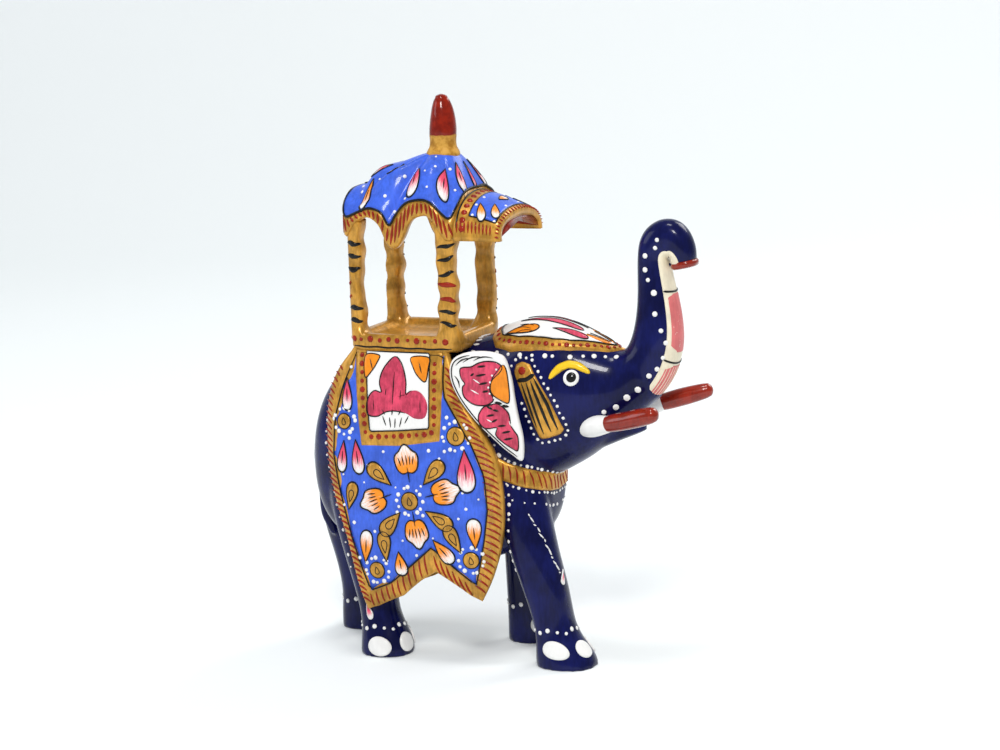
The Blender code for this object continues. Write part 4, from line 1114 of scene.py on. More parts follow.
def paint_neck_band(coat):
    """The gold band round the chest, its slanting strokes, and the dots above and below it."""
    half = [(16.8, -13.2, 53.6), (20, -12.8, 51.9), (22.9, -12.2, 51), (25.5, -11, 50), (28.1, -8.4, 49),
        (30.1, -4.6, 48.2), (30.9, 0, 47.6)]
    path = np.array(half + [(x, -y, z) for x, y, z in half[-2::-1]])
    canvas, length = skin()["near"].ribbon(path, RIGHT)
    u = np.linspace(0.0, length, 90)
    band(coat["gold"], canvas.place, u, -2.5, 2.6, columns=8, height=0.5, edge=0.08)
    p = np.arange(1.2, length - 1.0, 1.95)
    strokes(coat["stroke_red"], lifted(canvas, 0.48), lines(*spans(p - 0.9, 2.1, p + 0.9, -2.0), bend=0.06),
        0.6, 0.2)
    for q, spacing, radius in ((3.1, 1.7, 0.45), (-3.1, 1.6, 0.4), (-6.4, 2.4, 0.38)):
        p = np.arange(0.6, length, spacing)
        dots(coat["white"], canvas, np.stack([p, q + 0.15 * np.sin(p * 3.1)], 1),
            radius + 0.1 * np.sin(p * 2.3), 0.28)


def paint_rump(coat):
    """Dots down the rump behind each cloth, and the white fringe dashes in front of the howdah's tray."""
    z = np.arange(24.0, 80.0, 3.3)
    x = knots_at(z, CLOTH_REAR) - 1.5
    points = np.stack([x, np.full(len(z), 13.0), z], 1)
    z = np.concatenate([np.arange(24, 41, 3.1), np.arange(41, 62, 2.6)])
    x = knots_at(z, CLOTH_FRONT) - 0.1
    fore = np.stack([x, np.full(len(z), 15.0), z], 1)
    for sign in (RIGHT, LEFT):
        skin()["near"].dots(coat["white"], points * (1, sign, 1), 0.4 + 0.15 * np.sin(points[:, 2]), 0.3)
        skin()["near"].dots(coat["white"], fore * (1, sign, 1), 0.45 + 0.15 * np.sin(fore[:, 2] * 1.9), 0.3)
    y = np.linspace(-11.5, 11.5, 15)
    dashes = spans(9, y, 10.7 + 0.25 * np.sin(y * 5), y * 1.06)
    strokes(coat["white"], skin()["top"], lines(*dashes), 0.62, 0.3, taper=0.35)


# ---------------- side cloths

CLOTH_REAR = ((12, -19.6), (16.5, -21.1), (32.9, -25), (45.4, -29.2), (52.5, -31.4), (58.8, -32.2),
    (65, -32), (70.4, -31), (75, -29), (78.6, -26.8), (84.2, -22.2))
CLOTH_FRONT = ((12, 11), (17.4, 14.3), (21.8, 16.7), (29.1, 19.4), (40.8, 21.3), (48.8, 20.9), (56.8, 19.2),
    (64.6, 14.8), (71, 10.5), (79.9, 7.1), (84.2, 5.4))
HEM = ((-20.2, 12.8), (-16.2, 14.2), (-8.3, 17.7), (-2.9, 22.2), (1.7, 25), (6.8, 21.9), (11.1, 18.9),
    (14.3, 17.3))
CLOTH_WIDTH = ((12, 17.8), (22, 19), (35, 19.4), (52, 19.3), (66, 18.2), (76, 16.4), (83, 14.6))
CLOTH_TOP = 84.0
CLOTH_SKIRT = 1.9


def cloth_canvas(sign):
    """The cloth's face over (x, z): y = width(z) - 2.6 |(x + 5) / 26| ** 3 - 0.08 (past x = -26) ** 2."""
    def width(x, z):
        return knots_at(z, CLOTH_WIDTH) - 2.6 * np.abs((x + 5) / 26) ** 3 - 0.08 * np.maximum(-26 - x, 0) ** 2

    return height_canvas(width, lambda p, q, h: (p, h * sign, q))


def cloth_grid(u, v):
    """The (x, z) place at u of the way from the rear edge to the front edge, and v down from the seat to
    the hem."""
    hem_x, hem_z = np.array(HEM).T
    low, high = knots_at(hem_z, CLOTH_REAR), knots_at(hem_z, CLOTH_FRONT)
    z = CLOTH_TOP + (np.interp(u, (hem_x - low) / (high - low), hem_z) - CLOTH_TOP) * v
    rear, front = knots_at(z, CLOTH_REAR), knots_at(z, CLOTH_FRONT)
    return rear + (front - rear) * u, z


def cloth_depth(x, z):
    """The carving's depth: deeper at the front and rear edges above the belly, where the flank curves
    away."""
    side = np.clip((np.abs(x + 5) - 13) / 12, 0, 1)
    high = np.clip((z - 27) / 12, 0, 1)
    return CLOTH_SKIRT + 4.4 * side * side * (3 - 2 * side) * high


def make_cloth(sign):
    """One side cloth: the gold plate between its face and its back, and everything painted on it."""
    side = SIDE_NAMES[sign]
    canvas = cloth_canvas(sign)

    def place(u, v, lift):
        return canvas.place(*cloth_grid(v, u), lift)

    panel = painted(f"cloth_{side}_border", "gold")
    v = np.concatenate([[0, 0.002, 0.008], np.linspace(0.016, 0.984, 80), [0.992, 0.998, 1]])[:, None]
    u = np.concatenate([[0, 0.01, 0.025], np.linspace(0.045, 0.955, 74), [0.975, 0.99, 1]])[None]
    u_edge = np.minimum(1, np.minimum(u, 1 - u) / 0.03) ** 0.5
    v_edge = np.minimum(1, np.minimum(v + 0.02, 1 - v) / 0.02) ** 0.5
    slab(panel, place(v + 0 * u, u + 0 * v, -0.75 * (1 - u_edge * v_edge)), place(v + 0 * u, u + 0 * v,
        -cloth_depth(*cloth_grid(u + 0 * v, v + 0 * u))))
    panel.finish(f"side_cloth_{side}")

    coat = Coat(f"cloth_{side}")
    field = np.array([(-21, 82.6), (-24.6, 74), (-27, 65.3), (-27.7, 55.4), (-25.8, 45.6), (-22.7, 33.1),
        (-20.4, 26), (-17.8, 18.7), (-11.3, 21.4), (-4.6, 26.9), (1.1, 31.8), (7, 26.9), (13.2, 22),
        (14.6, 28), (15.8, 33.6), (17.1, 42.6), (16.5, 51.5), (13.4, 59.3), (8.9, 66.7), (5.4, 72.2),
        (4.9, 76.6), (4.8, 82.6)])
    middle, local = np.array([-3.5, 52.0]), field - (-3.5, 52.0)
    shape(coat["blue"], canvas, middle, local, 0.16, steps=34)
    outline_stroke(coat["black"], canvas, middle, local, size("line"), height=0.2, lift=0.14)
    paint_border(coat, canvas)
    paint_panel(coat, canvas)
    paint_flowers(coat, lifted(canvas, 0.15))
    coat.finish()


def paint_border(coat, canvas):
    """Slanting red strokes round the gold border."""
    z = np.arange(16.5, 80.0, 1.6)
    outer = knots_at(z, CLOTH_REAR) + 0.4
    inner = knots_at(z - 1.2, CLOTH_REAR) + np.interp(z, [16, 40, 60, 72, 80], [2.4, 2.8, 4, 3.2, 2])
    rear = spans(outer, z, inner, z - 1.2)
    z = np.arange(20.5, 80.0, 1.75)
    outer = knots_at(z, CLOTH_FRONT) - 0.5
    reach = np.interp(z, [20, 30, 42, 57, 70, 80], [2.6, 3.6, 4.1, 4.9, 4, 1.6])
    fore = spans(outer - reach, z + 1.5, outer, z - 0.6)
    x = np.concatenate([np.arange(-17.4, 1, 1.7), np.arange(3.4, 13.6, 1.7)])
    low = np.interp(x, *np.array(HEM).T) + 0.6
    rise = np.interp(x, [-18, -8, 0, 4, 14], [3.2, 4.4, 5.4, 5, 3.6])
    hem = spans(x, low, x - np.where(x < 2, 0.7, 1.8), low + rise)
    for group in (rear, fore, hem):
        strokes(coat["stroke_red"], canvas, lines(*group, bend=0.05), size("stroke"), 0.2, taper=0.4)


def paint_panel(coat, canvas):
    """The gold frame with red dots, its white field, the pink bud and the orange corner petals."""
    frame_corners = [(-21.4, 83.6), (-20.4, 70), (-18.9, 58), (-7, 58.4), (4.9, 60.2), (5.2, 70), (4.5, 83.6)]
    outline = anticlockwise(along_path(frame_corners, 96, closed=True)[0])
    middle = np.array([-7.6, 71.5])
    shape(coat["gold"], canvas, middle, outline - middle, 0.34, steps=20)
    corners = [(-17.8, 83.2), (-16.9, 72), (-15.9, 62.2), (-7.5, 62.8), (1.5, 63.7), (1.3, 72), (0.8, 83.2)]
    field = anticlockwise(along_path(corners, 96, closed=True)[0])
    shape(coat["white"], canvas, middle, field - middle, 0.12, lift=0.34, steps=20)
    outline_stroke(coat["black"], canvas, middle, field - middle, 0.36, height=0.14, lift=0.42)
    ring = along_path(offset(field, 1.45), spacing=2.25, closed=True)[0]
    ring = ring[ring[:, 1] < 82.4]
    dots(coat["stroke_red"], lifted(canvas, 0.33), ring, 0.72 + 0.14 * np.sin(np.arange(len(ring)) * 1.9),
        0.2)
    high = lifted(canvas, 0.45)
    bud = smooth_loop([(-9.2, 82), (-11.3, 80.2), (-12.8, 77.8), (-13.3, 75), (-12.6, 72.6), (-14.6, 73),
        (-16.2, 71.6), (-16.9, 69.2), (-16.4, 66.6), (-13.6, 66.3), (-11, 67.6), (-8.2, 67.9), (-5.2, 67.4),
        (-2.6, 66.2), (0.2, 66.5), (1, 69.2), (0.1, 71.8), (-2, 73.4), (-4.2, 73.2), (-5.4, 72.2),
        (-5.5, 75.3), (-6.3, 78.4), (-7.5, 80.7)], 110)
    bud = anticlockwise(bud)
    centre = np.array([-8.2, 71.4])
    shape(coat["pink"], high, centre, bud - centre, 0.12, steps=12)
    for part in ((0.0, 0.52), (0.78, 1.0)):
        outline_stroke(coat["black"], high, centre, bud - centre, 0.38, height=0.2, part=part)
    strokes(coat["black"], high, lines(((-9.0, 78.0), (-9.2, 69.6))), 0.5, 0.24)
    strokes(coat["black"], high, lines(((-14.9, 70.6), (-14.7, 67.8)), ((-1.2, 70.9), (-1.0, 67.8)),
        ((-11.2, 73.6), (-11.4, 71.8)), ((-6.9, 73.4), (-7, 70.9)), ((-11, 64), (-12, 66.4)),
        ((-9.6, 63.6), (-10, 66.2)), ((-8.4, 63.5), (-8.3, 66)), ((-7, 63.8), (-6.4, 66.3)),
        ((-5.5, 64.8), (-4.4, 66.8)), ((-9.3, 66.8), (-9.2, 68.4)), ((-11.4, 66.9), (-12.2, 68.2)),
        ((-7.4, 66.9), (-6.6, 68.4))), 0.4, 0.2)
    for corners in ([(-18, 81.9), (-13.9, 82.1), (-14.4, 80.2), (-15.8, 78), (-17.7, 76.4)],
            [(-4.4, 81.9), (0.6, 82), (0.7, 79.3), (0.1, 75.8), (-2.2, 77.2), (-3.7, 79.4)]):
        petal = anticlockwise(smooth_loop(corners, 60))
        centre, about = about_middle(petal)
        outlined(coat, "orange", high, centre, about, steps=4)
        strokes(coat["black"], high, lines((centre + (-0.6, 1.4), centre + (0.4, -1.4))), 0.5, 0.22)


# The cloth's flower wheel: place, turn, half width, half length.
WHEEL = (((-5, 53.4), 0.15, 5, 5.3), ((4, 46.6), -1.3, 4.9, 5.6), ((-3.2, 37.2), math.pi + 0.15, 4.9, 5.4),
    ((-13.7, 44.2), 1.95, 4.8, 5.5))
# The single petals: paint, place, turn, half width, half length.
CLOTH_PETALS = (
    ("pink_petal", (-23.2, 71.6), 0.05, 2.5, 4.1),
    ("pink_petal", (-24.6, 55.0), -0.12, 2.5, 4.2),
    ("pink_petal", (-19.9, 55.2), 0.12, 3.1, 4.5),
    ("pink_petal", (11.6, 52.9), 0.06, 4.2, 5.6),
    ("orange_drop", (-18.3, 30.8), math.pi - 0.1, 3.2, 4.4),
    ("orange_drop", (-8.2, 26.9), 0.15, 3.1, 3.2),
    ("orange_drop", (4.4, 31.0), 0.75, 3.2, 3.9),
    ("orange_drop", (13.4, 36.0), math.pi + 0.05, 3.4, 4.0))


def paint_flowers(coat, field):
    """The flower wheel, the gold teardrops and discs, the petals and the scattered dots."""
    hub = np.array([-4.6, 44.1])

    def turned_away(place):
        way = np.array(place) - hub
        return math.atan2(way[1], way[0]) - math.pi / 2

    def gold_drop(place, turn, long=4.2, wide=3.6):
        outlined(coat, "gold", field, place, teardrop(), 0.3, 0.42, 0.34, turn, (wide, long), 1.04, steps=4)
        outline_stroke(coat["black"], field, place, teardrop(20), 0.34, turn, (wide, long), grow=0.45,
            height=0.46)

    def gold_disc(place, radius=2.15):
        outlined(coat, "gold", field, place, oval(), 0.32, 0.34, 0.3, 0.0, (radius, radius), 1.02, steps=4)
        outline_stroke(coat["black"], field, place, teardrop(20), 0.32, 0.2, (radius, radius), grow=0.5,
            height=0.46)
        angle = 2 * np.pi * np.arange(12) / 12 + 0.12 * np.sin(np.arange(12) * 2.6 + place[1])
        reach = radius + 1.35 + 0.14 * np.sin(angle * 4 + place[0])
        ring = np.array(place) + reach[:, None] * np.stack([np.cos(angle), np.sin(angle)], 1)
        dots(coat["white"], field, ring, size("dot") * 1.1 + 0.12 * np.sin(angle * 5), 0.26)

    def drop(name, place, turn, wide, long):
        outlined(coat, name, field, place, teardrop(), 0.2, 0.42, 0.26, turn, (wide, long), 1.05, steps=5)
        c, s = -math.sin(turn), math.cos(turn)
        here = np.array(place)
        strokes(coat["black"], lifted(field, 0.18),
            lines((here + np.array([c, s]) * long * 0.35, here - np.array([c, s]) * long * 0.45)), 0.42,
            0.16)

    for place, turn, wide, long in WHEEL:
        outlined(coat, "orange_petal", field, place, fan_petal(), 0.24, 0.44, 0.3, turn, (wide, long), 1.03,
            steps=6)
        up, right = np.array([-math.sin(turn), math.cos(turn)]), np.array([math.cos(turn), math.sin(turn)])
        here = np.array(place)
        marks = [(here + right * k * 1.15 + up * (0.4 + 0.4 * (k == 0)),
                  here + right * k * 1.5 + up * (3.1 - 0.3 * abs(k))) for k in (-1.5, -0.7, 0.1, 0.8, 1.5)]
        marks += [(here - up * 4.2, here - up * 0.2)]
        strokes(coat["black"], lifted(field, 0.22), lines(*marks), 0.4, 0.16)
    for place in ((-13.2, 50.7), (2.4, 51.9), (3.6, 39.6), (-10.4, 37.8)):
        gold_drop(place, turned_away(place) + math.pi)
    for place, turn, long, wide in (((-22.2, 44.4), -0.25, 3.8, 3), ((-12.6, 31.2), 0.1, 4, 3.3),
            ((7.6, 34.3), 0.5, 4, 3.3)):
        gold_drop(place, math.pi + turn, long, wide)
    for place, radius in ((tuple(hub), 2.35), ((-24, 64.4), 2), ((9, 62), 2.4), ((-15.3, 24.6), 2.15),
            ((12.2, 28.9), 2.15)):
        gold_disc(place, radius)
    for name, place, turn, wide, long in CLOTH_PETALS:
        drop(name, place, turn, wide, long)
    scattered = [(-12, 57), (1.3, 57.9), (5.8, 57.9), (-16.8, 53.2), (-18, 48.4), (-24.6, 41.8),
        (-21.7, 37.2), (-15.4, 35.2), (-24.5, 50.1), (14.9, 45.4), (11.4, 42.7), (6.4, 66.8), (-3.3, 29.4),
        (1.7, 34.4), (-7.2, 33.2), (-22.4, 78.7), (-20.5, 27.6), (4.3, 55.9), (-8.6, 47.6), (-1.2, 48.3),
        (-8.4, 40.9), (-0.9, 40.4), (10.6, 47), (-12, 27.4), (9.2, 40), (-22.4, 60)]
    dots(coat["white"], field, scattered, 0.42 + 0.14 * np.sin(np.arange(len(scattered)) * 1.3), 0.26)


# ---------------- howdah: tray, posts, roof and awning

TRAY_LOW, TRAY_TOP, TRAY_FLOOR = 83.2, 87.8, 85.7
TRAY_REAR, TRAY_FRONT, TRAY_HALF = -23.4, 8.7, 14.8
POST_FOOT, POST_HEAD = 86.0, 118.0
POST_XS = (-21.7, 5.6)
POST_Y = 12.0
POST_HALF = 2.4
POST_SWELL = ((86, 1.9), (87.6, 1.42), (89.4, 1.12), (92, 1.02), (95.5, 1.1), (98.6, 1), (102, 1.1),
    (105.2, 0.97), (108.6, 1.1), (111.2, 1.12), (113, 1.22), (115.5, 1.4), (118, 1.55))

POST_MARKS = ("black", "black", "black", "stroke_red", "stroke_red", "black", "black")
POST_MARK_HEIGHTS = ((111.8, 108.4, 105.1, 101.1, 97.6, 94.6, 91.1), (111.4, 108.2, 104.2, 101.5, 97.6, 94,
    91.3))


def rounded(angle, half_x, half_y, power):
    """A point of a superellipse: |x / half_x| ** power + |y / half_y| ** power = 1."""
    c, s = np.cos(angle), np.sin(angle)
    return half_x * np.sign(c) * np.abs(c) ** (2 / power), half_y * np.sign(s) * np.abs(s) ** (2 / power)


def make_howdah_frame():
    """A dished tray and four whittled square posts that flare into it, fused on a voxel grid."""
    frame_piece = painted("howdah_frame", "gold")
    middle_x, half_x = (TRAY_REAR + TRAY_FRONT) / 2, (TRAY_FRONT - TRAY_REAR) / 2
    angle = 2 * np.pi * (np.arange(160) + 0.5) / 160
    levels = ((TRAY_LOW, 0.9), (TRAY_LOW + 0.3, 0.25), (TRAY_LOW + 1, 0), (TRAY_TOP - 1, 0.05),
        (TRAY_TOP - 0.3, 0.35), (TRAY_TOP, 1), (TRAY_TOP - 0.15, 2.6), (TRAY_FLOOR + 0.6, 4.4),
        (TRAY_FLOOR + 0.1, 6), (TRAY_FLOOR, 9.0))
    rings = []
    for z, inset in levels:
        x, y = rounded(angle, half_x - inset, TRAY_HALF - inset, 9.0)
        rings.append(np.stack([middle_x + x, y, z + 0.12 * np.sin(angle * 5) * (inset < 3)], 1))
    frame_piece.add(np.array(rings)[None], (middle_x, 0, TRAY_LOW), (middle_x, 0, TRAY_FLOOR))
    angle = 2 * np.pi * (np.arange(36) + 0.5) / 36
    z = np.linspace(POST_FOOT, POST_HEAD, 60)[:, None]
    for k, (x, sign) in enumerate((x, sign) for x in POST_XS for sign in (RIGHT, LEFT)):
        reach = POST_HALF * knots_at(z, POST_SWELL) + 0.16 * np.sin(z * 1.1 + k * 2.0)
        px, py = rounded(angle[None], 1.0, 1.0, 3.3)
        px = x + px * reach + 0.32 * np.sin(z * 0.42 + k * 1.7)
        py = sign * POST_Y + py * reach * 0.98 + 0.28 * np.sin(z * 0.37 + k * 2.3)
        past = (np.abs((px - middle_x) / (half_x + 0.1)) ** 9
            + np.abs(py / (TRAY_HALF + 0.15)) ** 9) ** (1 / 9)
        past = np.maximum(past, 1.0)
        rings = np.stack([middle_x + (px - middle_x) / past, py / past, z + 0 * px], -1)
        frame_piece.add(rings[None], rings[0].mean(0), rings[-1].mean(0))
    nodes = ["howdah_base"] + [f"howdah_post_{end}_{side}" for end in ("front", "rear")
        for side in ("right", "left")]
    return frame_piece.finish(*nodes,
        after=[("REMESH", {"mode": "VOXEL", "voxel_size": size("howdah_voxel") * MM,
        "use_smooth_shade": True}), ("SMOOTH", {"factor": 0.5, "iterations": 5})])


def paint_howdah(coat):
    """Red dots and a black line round the tray, and black and red dashes on the posts."""
    near = Skin(bpy.data.objects["howdah_frame"])
    for sign in (RIGHT, LEFT):
        x = np.array([-21.9, -19.3, -16.6, -13.8, -11.2, -8.7, -5.6, -3, -0.6, 2.4, 5.4])
        row = np.stack([x, np.full(11, sign * 15.2), 86.3 + 0.2 * np.sin(x)], 1)
        near.dots(coat["stroke_red"], row, 0.72 + 0.2 * np.sin(x * 1.4), 0.3)
        line, length = near.ribbon([(-22.6, sign * 15, 84.3), (7.8, sign * 15, 84.2)], sign)
        p = np.linspace(0.3, length - 0.3, 60)
        strokes(coat["black"], line, np.stack([p, 0.08 * np.sin(p)], 1), 0.5, 0.2, taper=0.1)
        for x, heights in zip(POST_XS, POST_MARK_HEIGHTS):
            for k, (z, name) in enumerate(zip(heights, POST_MARKS)):
                rear = x < 0
                lean = 0.15 if rear else -0.55 if z > 103 else 0.4
                wide = 1.45 if rear else 1.1 if name == "black" else 1.35
                start, end = (-2.1, 1.9) if rear else (-2.3, 2.9)
                if rear and name == "stroke_red":
                    start, end = -2.1, -0.2
                corners = [(x + start, sign * 15.2, z + lean), (x + (start + end) / 2, sign * 15.3, z)]
                wrap = 1.1 if rear else 2.2
                corners += [(x + wrap, sign * 15.0, z - lean * 0.8), (x + wrap + 1.4, sign * 13.2, z - lean)]
                corners = corners[:2] if rear and name == "stroke_red" else corners
                path, length = near.ribbon(corners, sign)
                p = np.linspace(0.0, length, 15)
                strokes(coat[name], path, np.stack([p, 0.16 * np.sin(p * 1.1 + k)], 1), wide * 1.1, 0.24,
                    taper=0.5)
    y = np.arange(-12.0, 12.5, 2.4)
    near.dots(coat["stroke_red"], np.stack([0 * y + TRAY_REAR - 0.4, y, 0 * y + 86.2], 1), 0.65, 0.3)
    coat.finish()


ROOF_REAR, ROOF_FRONT, ROOF_HALF = -24.0, 9.0, 15.3
CROWN_Z, CROWN_RADIUS = 134.6, 3.7
VALLEY_X = -9.2
ROOF_WALL = 2.4
EAVE_TOP = ((-24, 118.8), (-22.1, 119.1), (-19.1, 120.2), (-14.2, 121.5), (-11.4, 120.2), (-9.2, 117.2),
    (-7.4, 119.8), (-4.4, 122.8), (-1, 123.9), (2.9, 123.2), (6.1, 120.3), (9, 116.9))
EAVE_FOOT = ((-24, 112.6), (-22.4, 114.1), (-18.7, 117.9), (-14.8, 118.5), (-12, 115.6), (-10.4, 111.7),
    (-9, 110.5), (-7.8, 110.8), (-5.5, 113.6), (-3.6, 117.4), (-0.7, 119.2), (2.7, 118.6), (4.9, 115.1),
    (6.7, 112.6), (9.0, 111.6))
END_TOP = ((0, 125.8), (7, 125.2), (11.4, 122.8), (15.3, 118.4))
END_FOOT = ((0, 120), (5, 119.3), (9.2, 117), (12, 113.6), (15.3, 112.7))


def rim(count, inset=0.0):
    """The roof's edge, anticlockwise from the front: (x, y), and the heights of the eave's top and foot
    there."""
    middle_x = (ROOF_REAR + ROOF_FRONT) / 2
    half_x = (ROOF_FRONT - ROOF_REAR) / 2 - inset
    x, y = rounded(2 * np.pi * np.arange(4000) / 4000, half_x, ROOF_HALF - inset, 9.0)
    spots = along_path(np.stack([middle_x + x, y], 1), count, closed=True)[0]
    x, y = spots.T
    share = np.clip((np.abs(y) - (ROOF_HALF - inset - 2.2)) / 2.2, 0, 1)
    share = share * share * (3 - 2 * share)
    top = knots_at(np.abs(y), END_TOP) * (1 - share) + knots_at(x, EAVE_TOP) * share
    foot = knots_at(np.abs(y), END_FOOT) * (1 - share) + knots_at(x, EAVE_FOOT) * share
    return x, y, top, foot


def roof_rings(shares, count, inset=0.0, sink=0.0):
    """The roof's skin: from the crown's foot (share 0) out to the eave (share 1), it falls by a power of
    the share, a half-wave lobe stands over each arch with a crease where two lobes meet, and behind the
    crown two bell curves, one up and one down, make a hump and the step before the rear edge."""
    x, y, edge, _ = rim(count, inset)
    reach = np.hypot(x, y)
    start = np.stack([x, y], 1) / reach[:, None] * CROWN_RADIUS
    shares = np.asarray(shares)[:, None]
    rear = np.clip(-x / 24.0, 0, 1)
    side = np.clip(np.abs(y) / ROOF_HALF, 0, 1) ** 2
    arch = np.where(x < VALLEY_X, (x - ROOF_REAR) / (VALLEY_X - ROOF_REAR),
        (x - VALLEY_X) / (ROOF_FRONT - VALLEY_X))
    lobes = side * (2.0 * np.sin(np.pi * arch) - 0.5)
    hump = 1.1 * np.exp(-(((shares - 0.6) / 0.16) ** 2)) - 1.2 * np.exp(-(((shares - 0.84) / 0.08) ** 2))
    lobes = lobes * np.sin(np.pi * shares ** 1.5)
    z = CROWN_Z + (edge - CROWN_Z) * shares ** 1.3 + lobes + rear * hump - sink
    flat = start[None] + (np.stack([x, y], 1) - start)[None] * shares[..., None]
    return np.concatenate([flat, z[..., None]], -1)


def make_roof():
    """Blue roof shell, brick-red lining under it, and the gold scalloped eave."""
    count = 240
    roof = painted("canopy_roof", "blue")
    shares = np.linspace(0, 1, 30)
    outer = roof_rings(shares, count)
    edge = outer[-1:] - (0, 0, 0.7)
    inner = roof_rings(shares[::-1], count, 0.9, 1.5)
    roof.add(np.concatenate([outer, edge, inner])[None], (0, 0, CROWN_Z), (0, 0, CROWN_Z - 1.5))
    roof.finish("canopy")
    lining = painted("canopy_lining", "brick")
    upper = roof_rings(shares, count, 1.6, 1.3)
    lower = roof_rings(shares[::-1], count, 2.0, 2.4)
    lining.add(np.concatenate([upper, lower])[None], (0, 0, CROWN_Z - 1.3), (0, 0, CROWN_Z - 2.4))
    lining.finish()
    x, y, top, foot = rim(count)
    xi, yi, _, foot_in = rim(count, ROOF_WALL)
    eave = painted("canopy_eave", "gold")
    profile = ((0.06, 0.15, 0), (0, -0.12, 0), (0, -0.2, 0.5), (0, -0.2, 0.85), (0.12, 0, 0.97),
        (0.35, 0.3, 1), (0.8, 0.4, 0.99), (1, 0, 0.9), (1, 0, 0.5), (1, 0, 0.06), (0.5, 0.1, 0))
    rings = []
    for across, out, down in profile:
        px, py = x + (xi - x) * across, y + (yi - y) * across
        way = unit(np.stack([x + 7.5, y], 1))
        low = foot * (1 - across) + foot_in * across
        rings.append(np.stack([px - way[:, 0] * out, py - way[:, 1] * out,
            top - 0.15 + (low - top + 0.15) * down], 1))
    ring = np.array(rings).transpose(1, 0, 2)
    closed_tube(eave, ring)
    eave.finish()


def add_faces(piece, points, faces):
    """Adds a closed sheet of quads, turned inside out if its volume comes out negative."""
    points = points.reshape(-1, 3)
    triangles = np.concatenate([faces[:, [0, 1, 2]], faces[:, [0, 2, 3]]])
    if np.linalg.det(points[triangles] - points.mean(0)).sum() < 0:
        faces = faces[:, ::-1]
    piece.points.append(points)
    piece.brush.append(np.zeros((len(points), 2)))
    piece.faces += (faces + piece.count).tolist()
    piece.count += len(points)


def slab(piece, front, back):
    """A plate between two grids (rows, columns, 3) of the same layout, closed by a strip along each
    border."""
    rows, columns = front.shape[:2]
    k = np.arange(rows * columns).reshape(rows, columns)
    face = np.stack([k[:-1, :-1], k[1:, :-1], k[1:, 1:], k[:-1, 1:]], -1).reshape(-1, 4)
    loop = np.concatenate([k[:-1, 0], k[-1, :-1], k[:0:-1, -1], k[0, :0:-1]])
    after = np.roll(loop, -1)
    other = rows * columns
    wall = np.stack([after, loop, loop + other, after + other], 1)
    faces = np.concatenate([face, face[:, ::-1] + other, wall])
    add_faces(piece, np.concatenate([front.reshape(-1, 3), back.reshape(-1, 3)]), faces)


def closed_tube(piece, ring):
    """A tube whose sections (sections, around, 3) run round and meet: the last section joins the first."""
    sections, around = ring.shape[:2]
    i, j = np.meshgrid(np.arange(sections), np.arange(around), indexing="ij")
    n, m = (i + 1) % sections, (j + 1) % around
    faces = np.stack([i * around + j, n * around + j, n * around + m, i * around + m], -1).reshape(-1, 4)
    add_faces(piece, ring, faces)


def eave_canvas(count=480):
    """The eave's outer face: p runs round the rim in millimetres and q is the share down from its top to
    its foot."""
    x, y, top, foot = rim(count)
    at = np.concatenate([[0.0], np.cumsum(np.hypot(np.diff(x), np.diff(y)))])
    way = unit(np.stack([x + 7.5, y], 1))
    way = np.where(np.abs(y)[:, None] > ROOF_HALF - 1.2, np.stack([0 * x, np.sign(y)], 1), way)
    way = np.where((np.abs(x + 7.5) > 16.5 - 1.2)[:, None], np.stack([np.sign(x + 7.5), 0 * y],
        1) * 0.7 + way * 0.3, way)

    def place(p, q, lift):
        p, q, lift = np.broadcast_arrays(*(np.asarray(v, float) for v in (p, q, lift)))
        px, py, high, low, wx, wy = (np.interp(p, at, v) for v in (x, y, top, foot, *way.T))
        z = high - 0.15 + (low - high + 0.15) * q
        return np.stack([px + wx * (lift + 0.2), py + wy * (lift + 0.2), z], -1)
    return Canvas(place), at, x, y


# The roof's petals: place, turn, half width, half length, paint.
ROOF_PETALS = (
    ((-3.1, -11.4), 0.0, 2.7, 3.1, "pink_petal"),
    ((4.4, -10.0), 0.25, 2.6, 3.1, "pink_petal"),
    ((7.0, -5.4), 0.8, 2.0, 2.6, "pink_petal"),
    ((-16.9, -11.8), -0.1, 2.2, 3.3, "orange_drop"),
    ((-10.4, -7.4), -0.5, 1.7, 2.6, "white"))


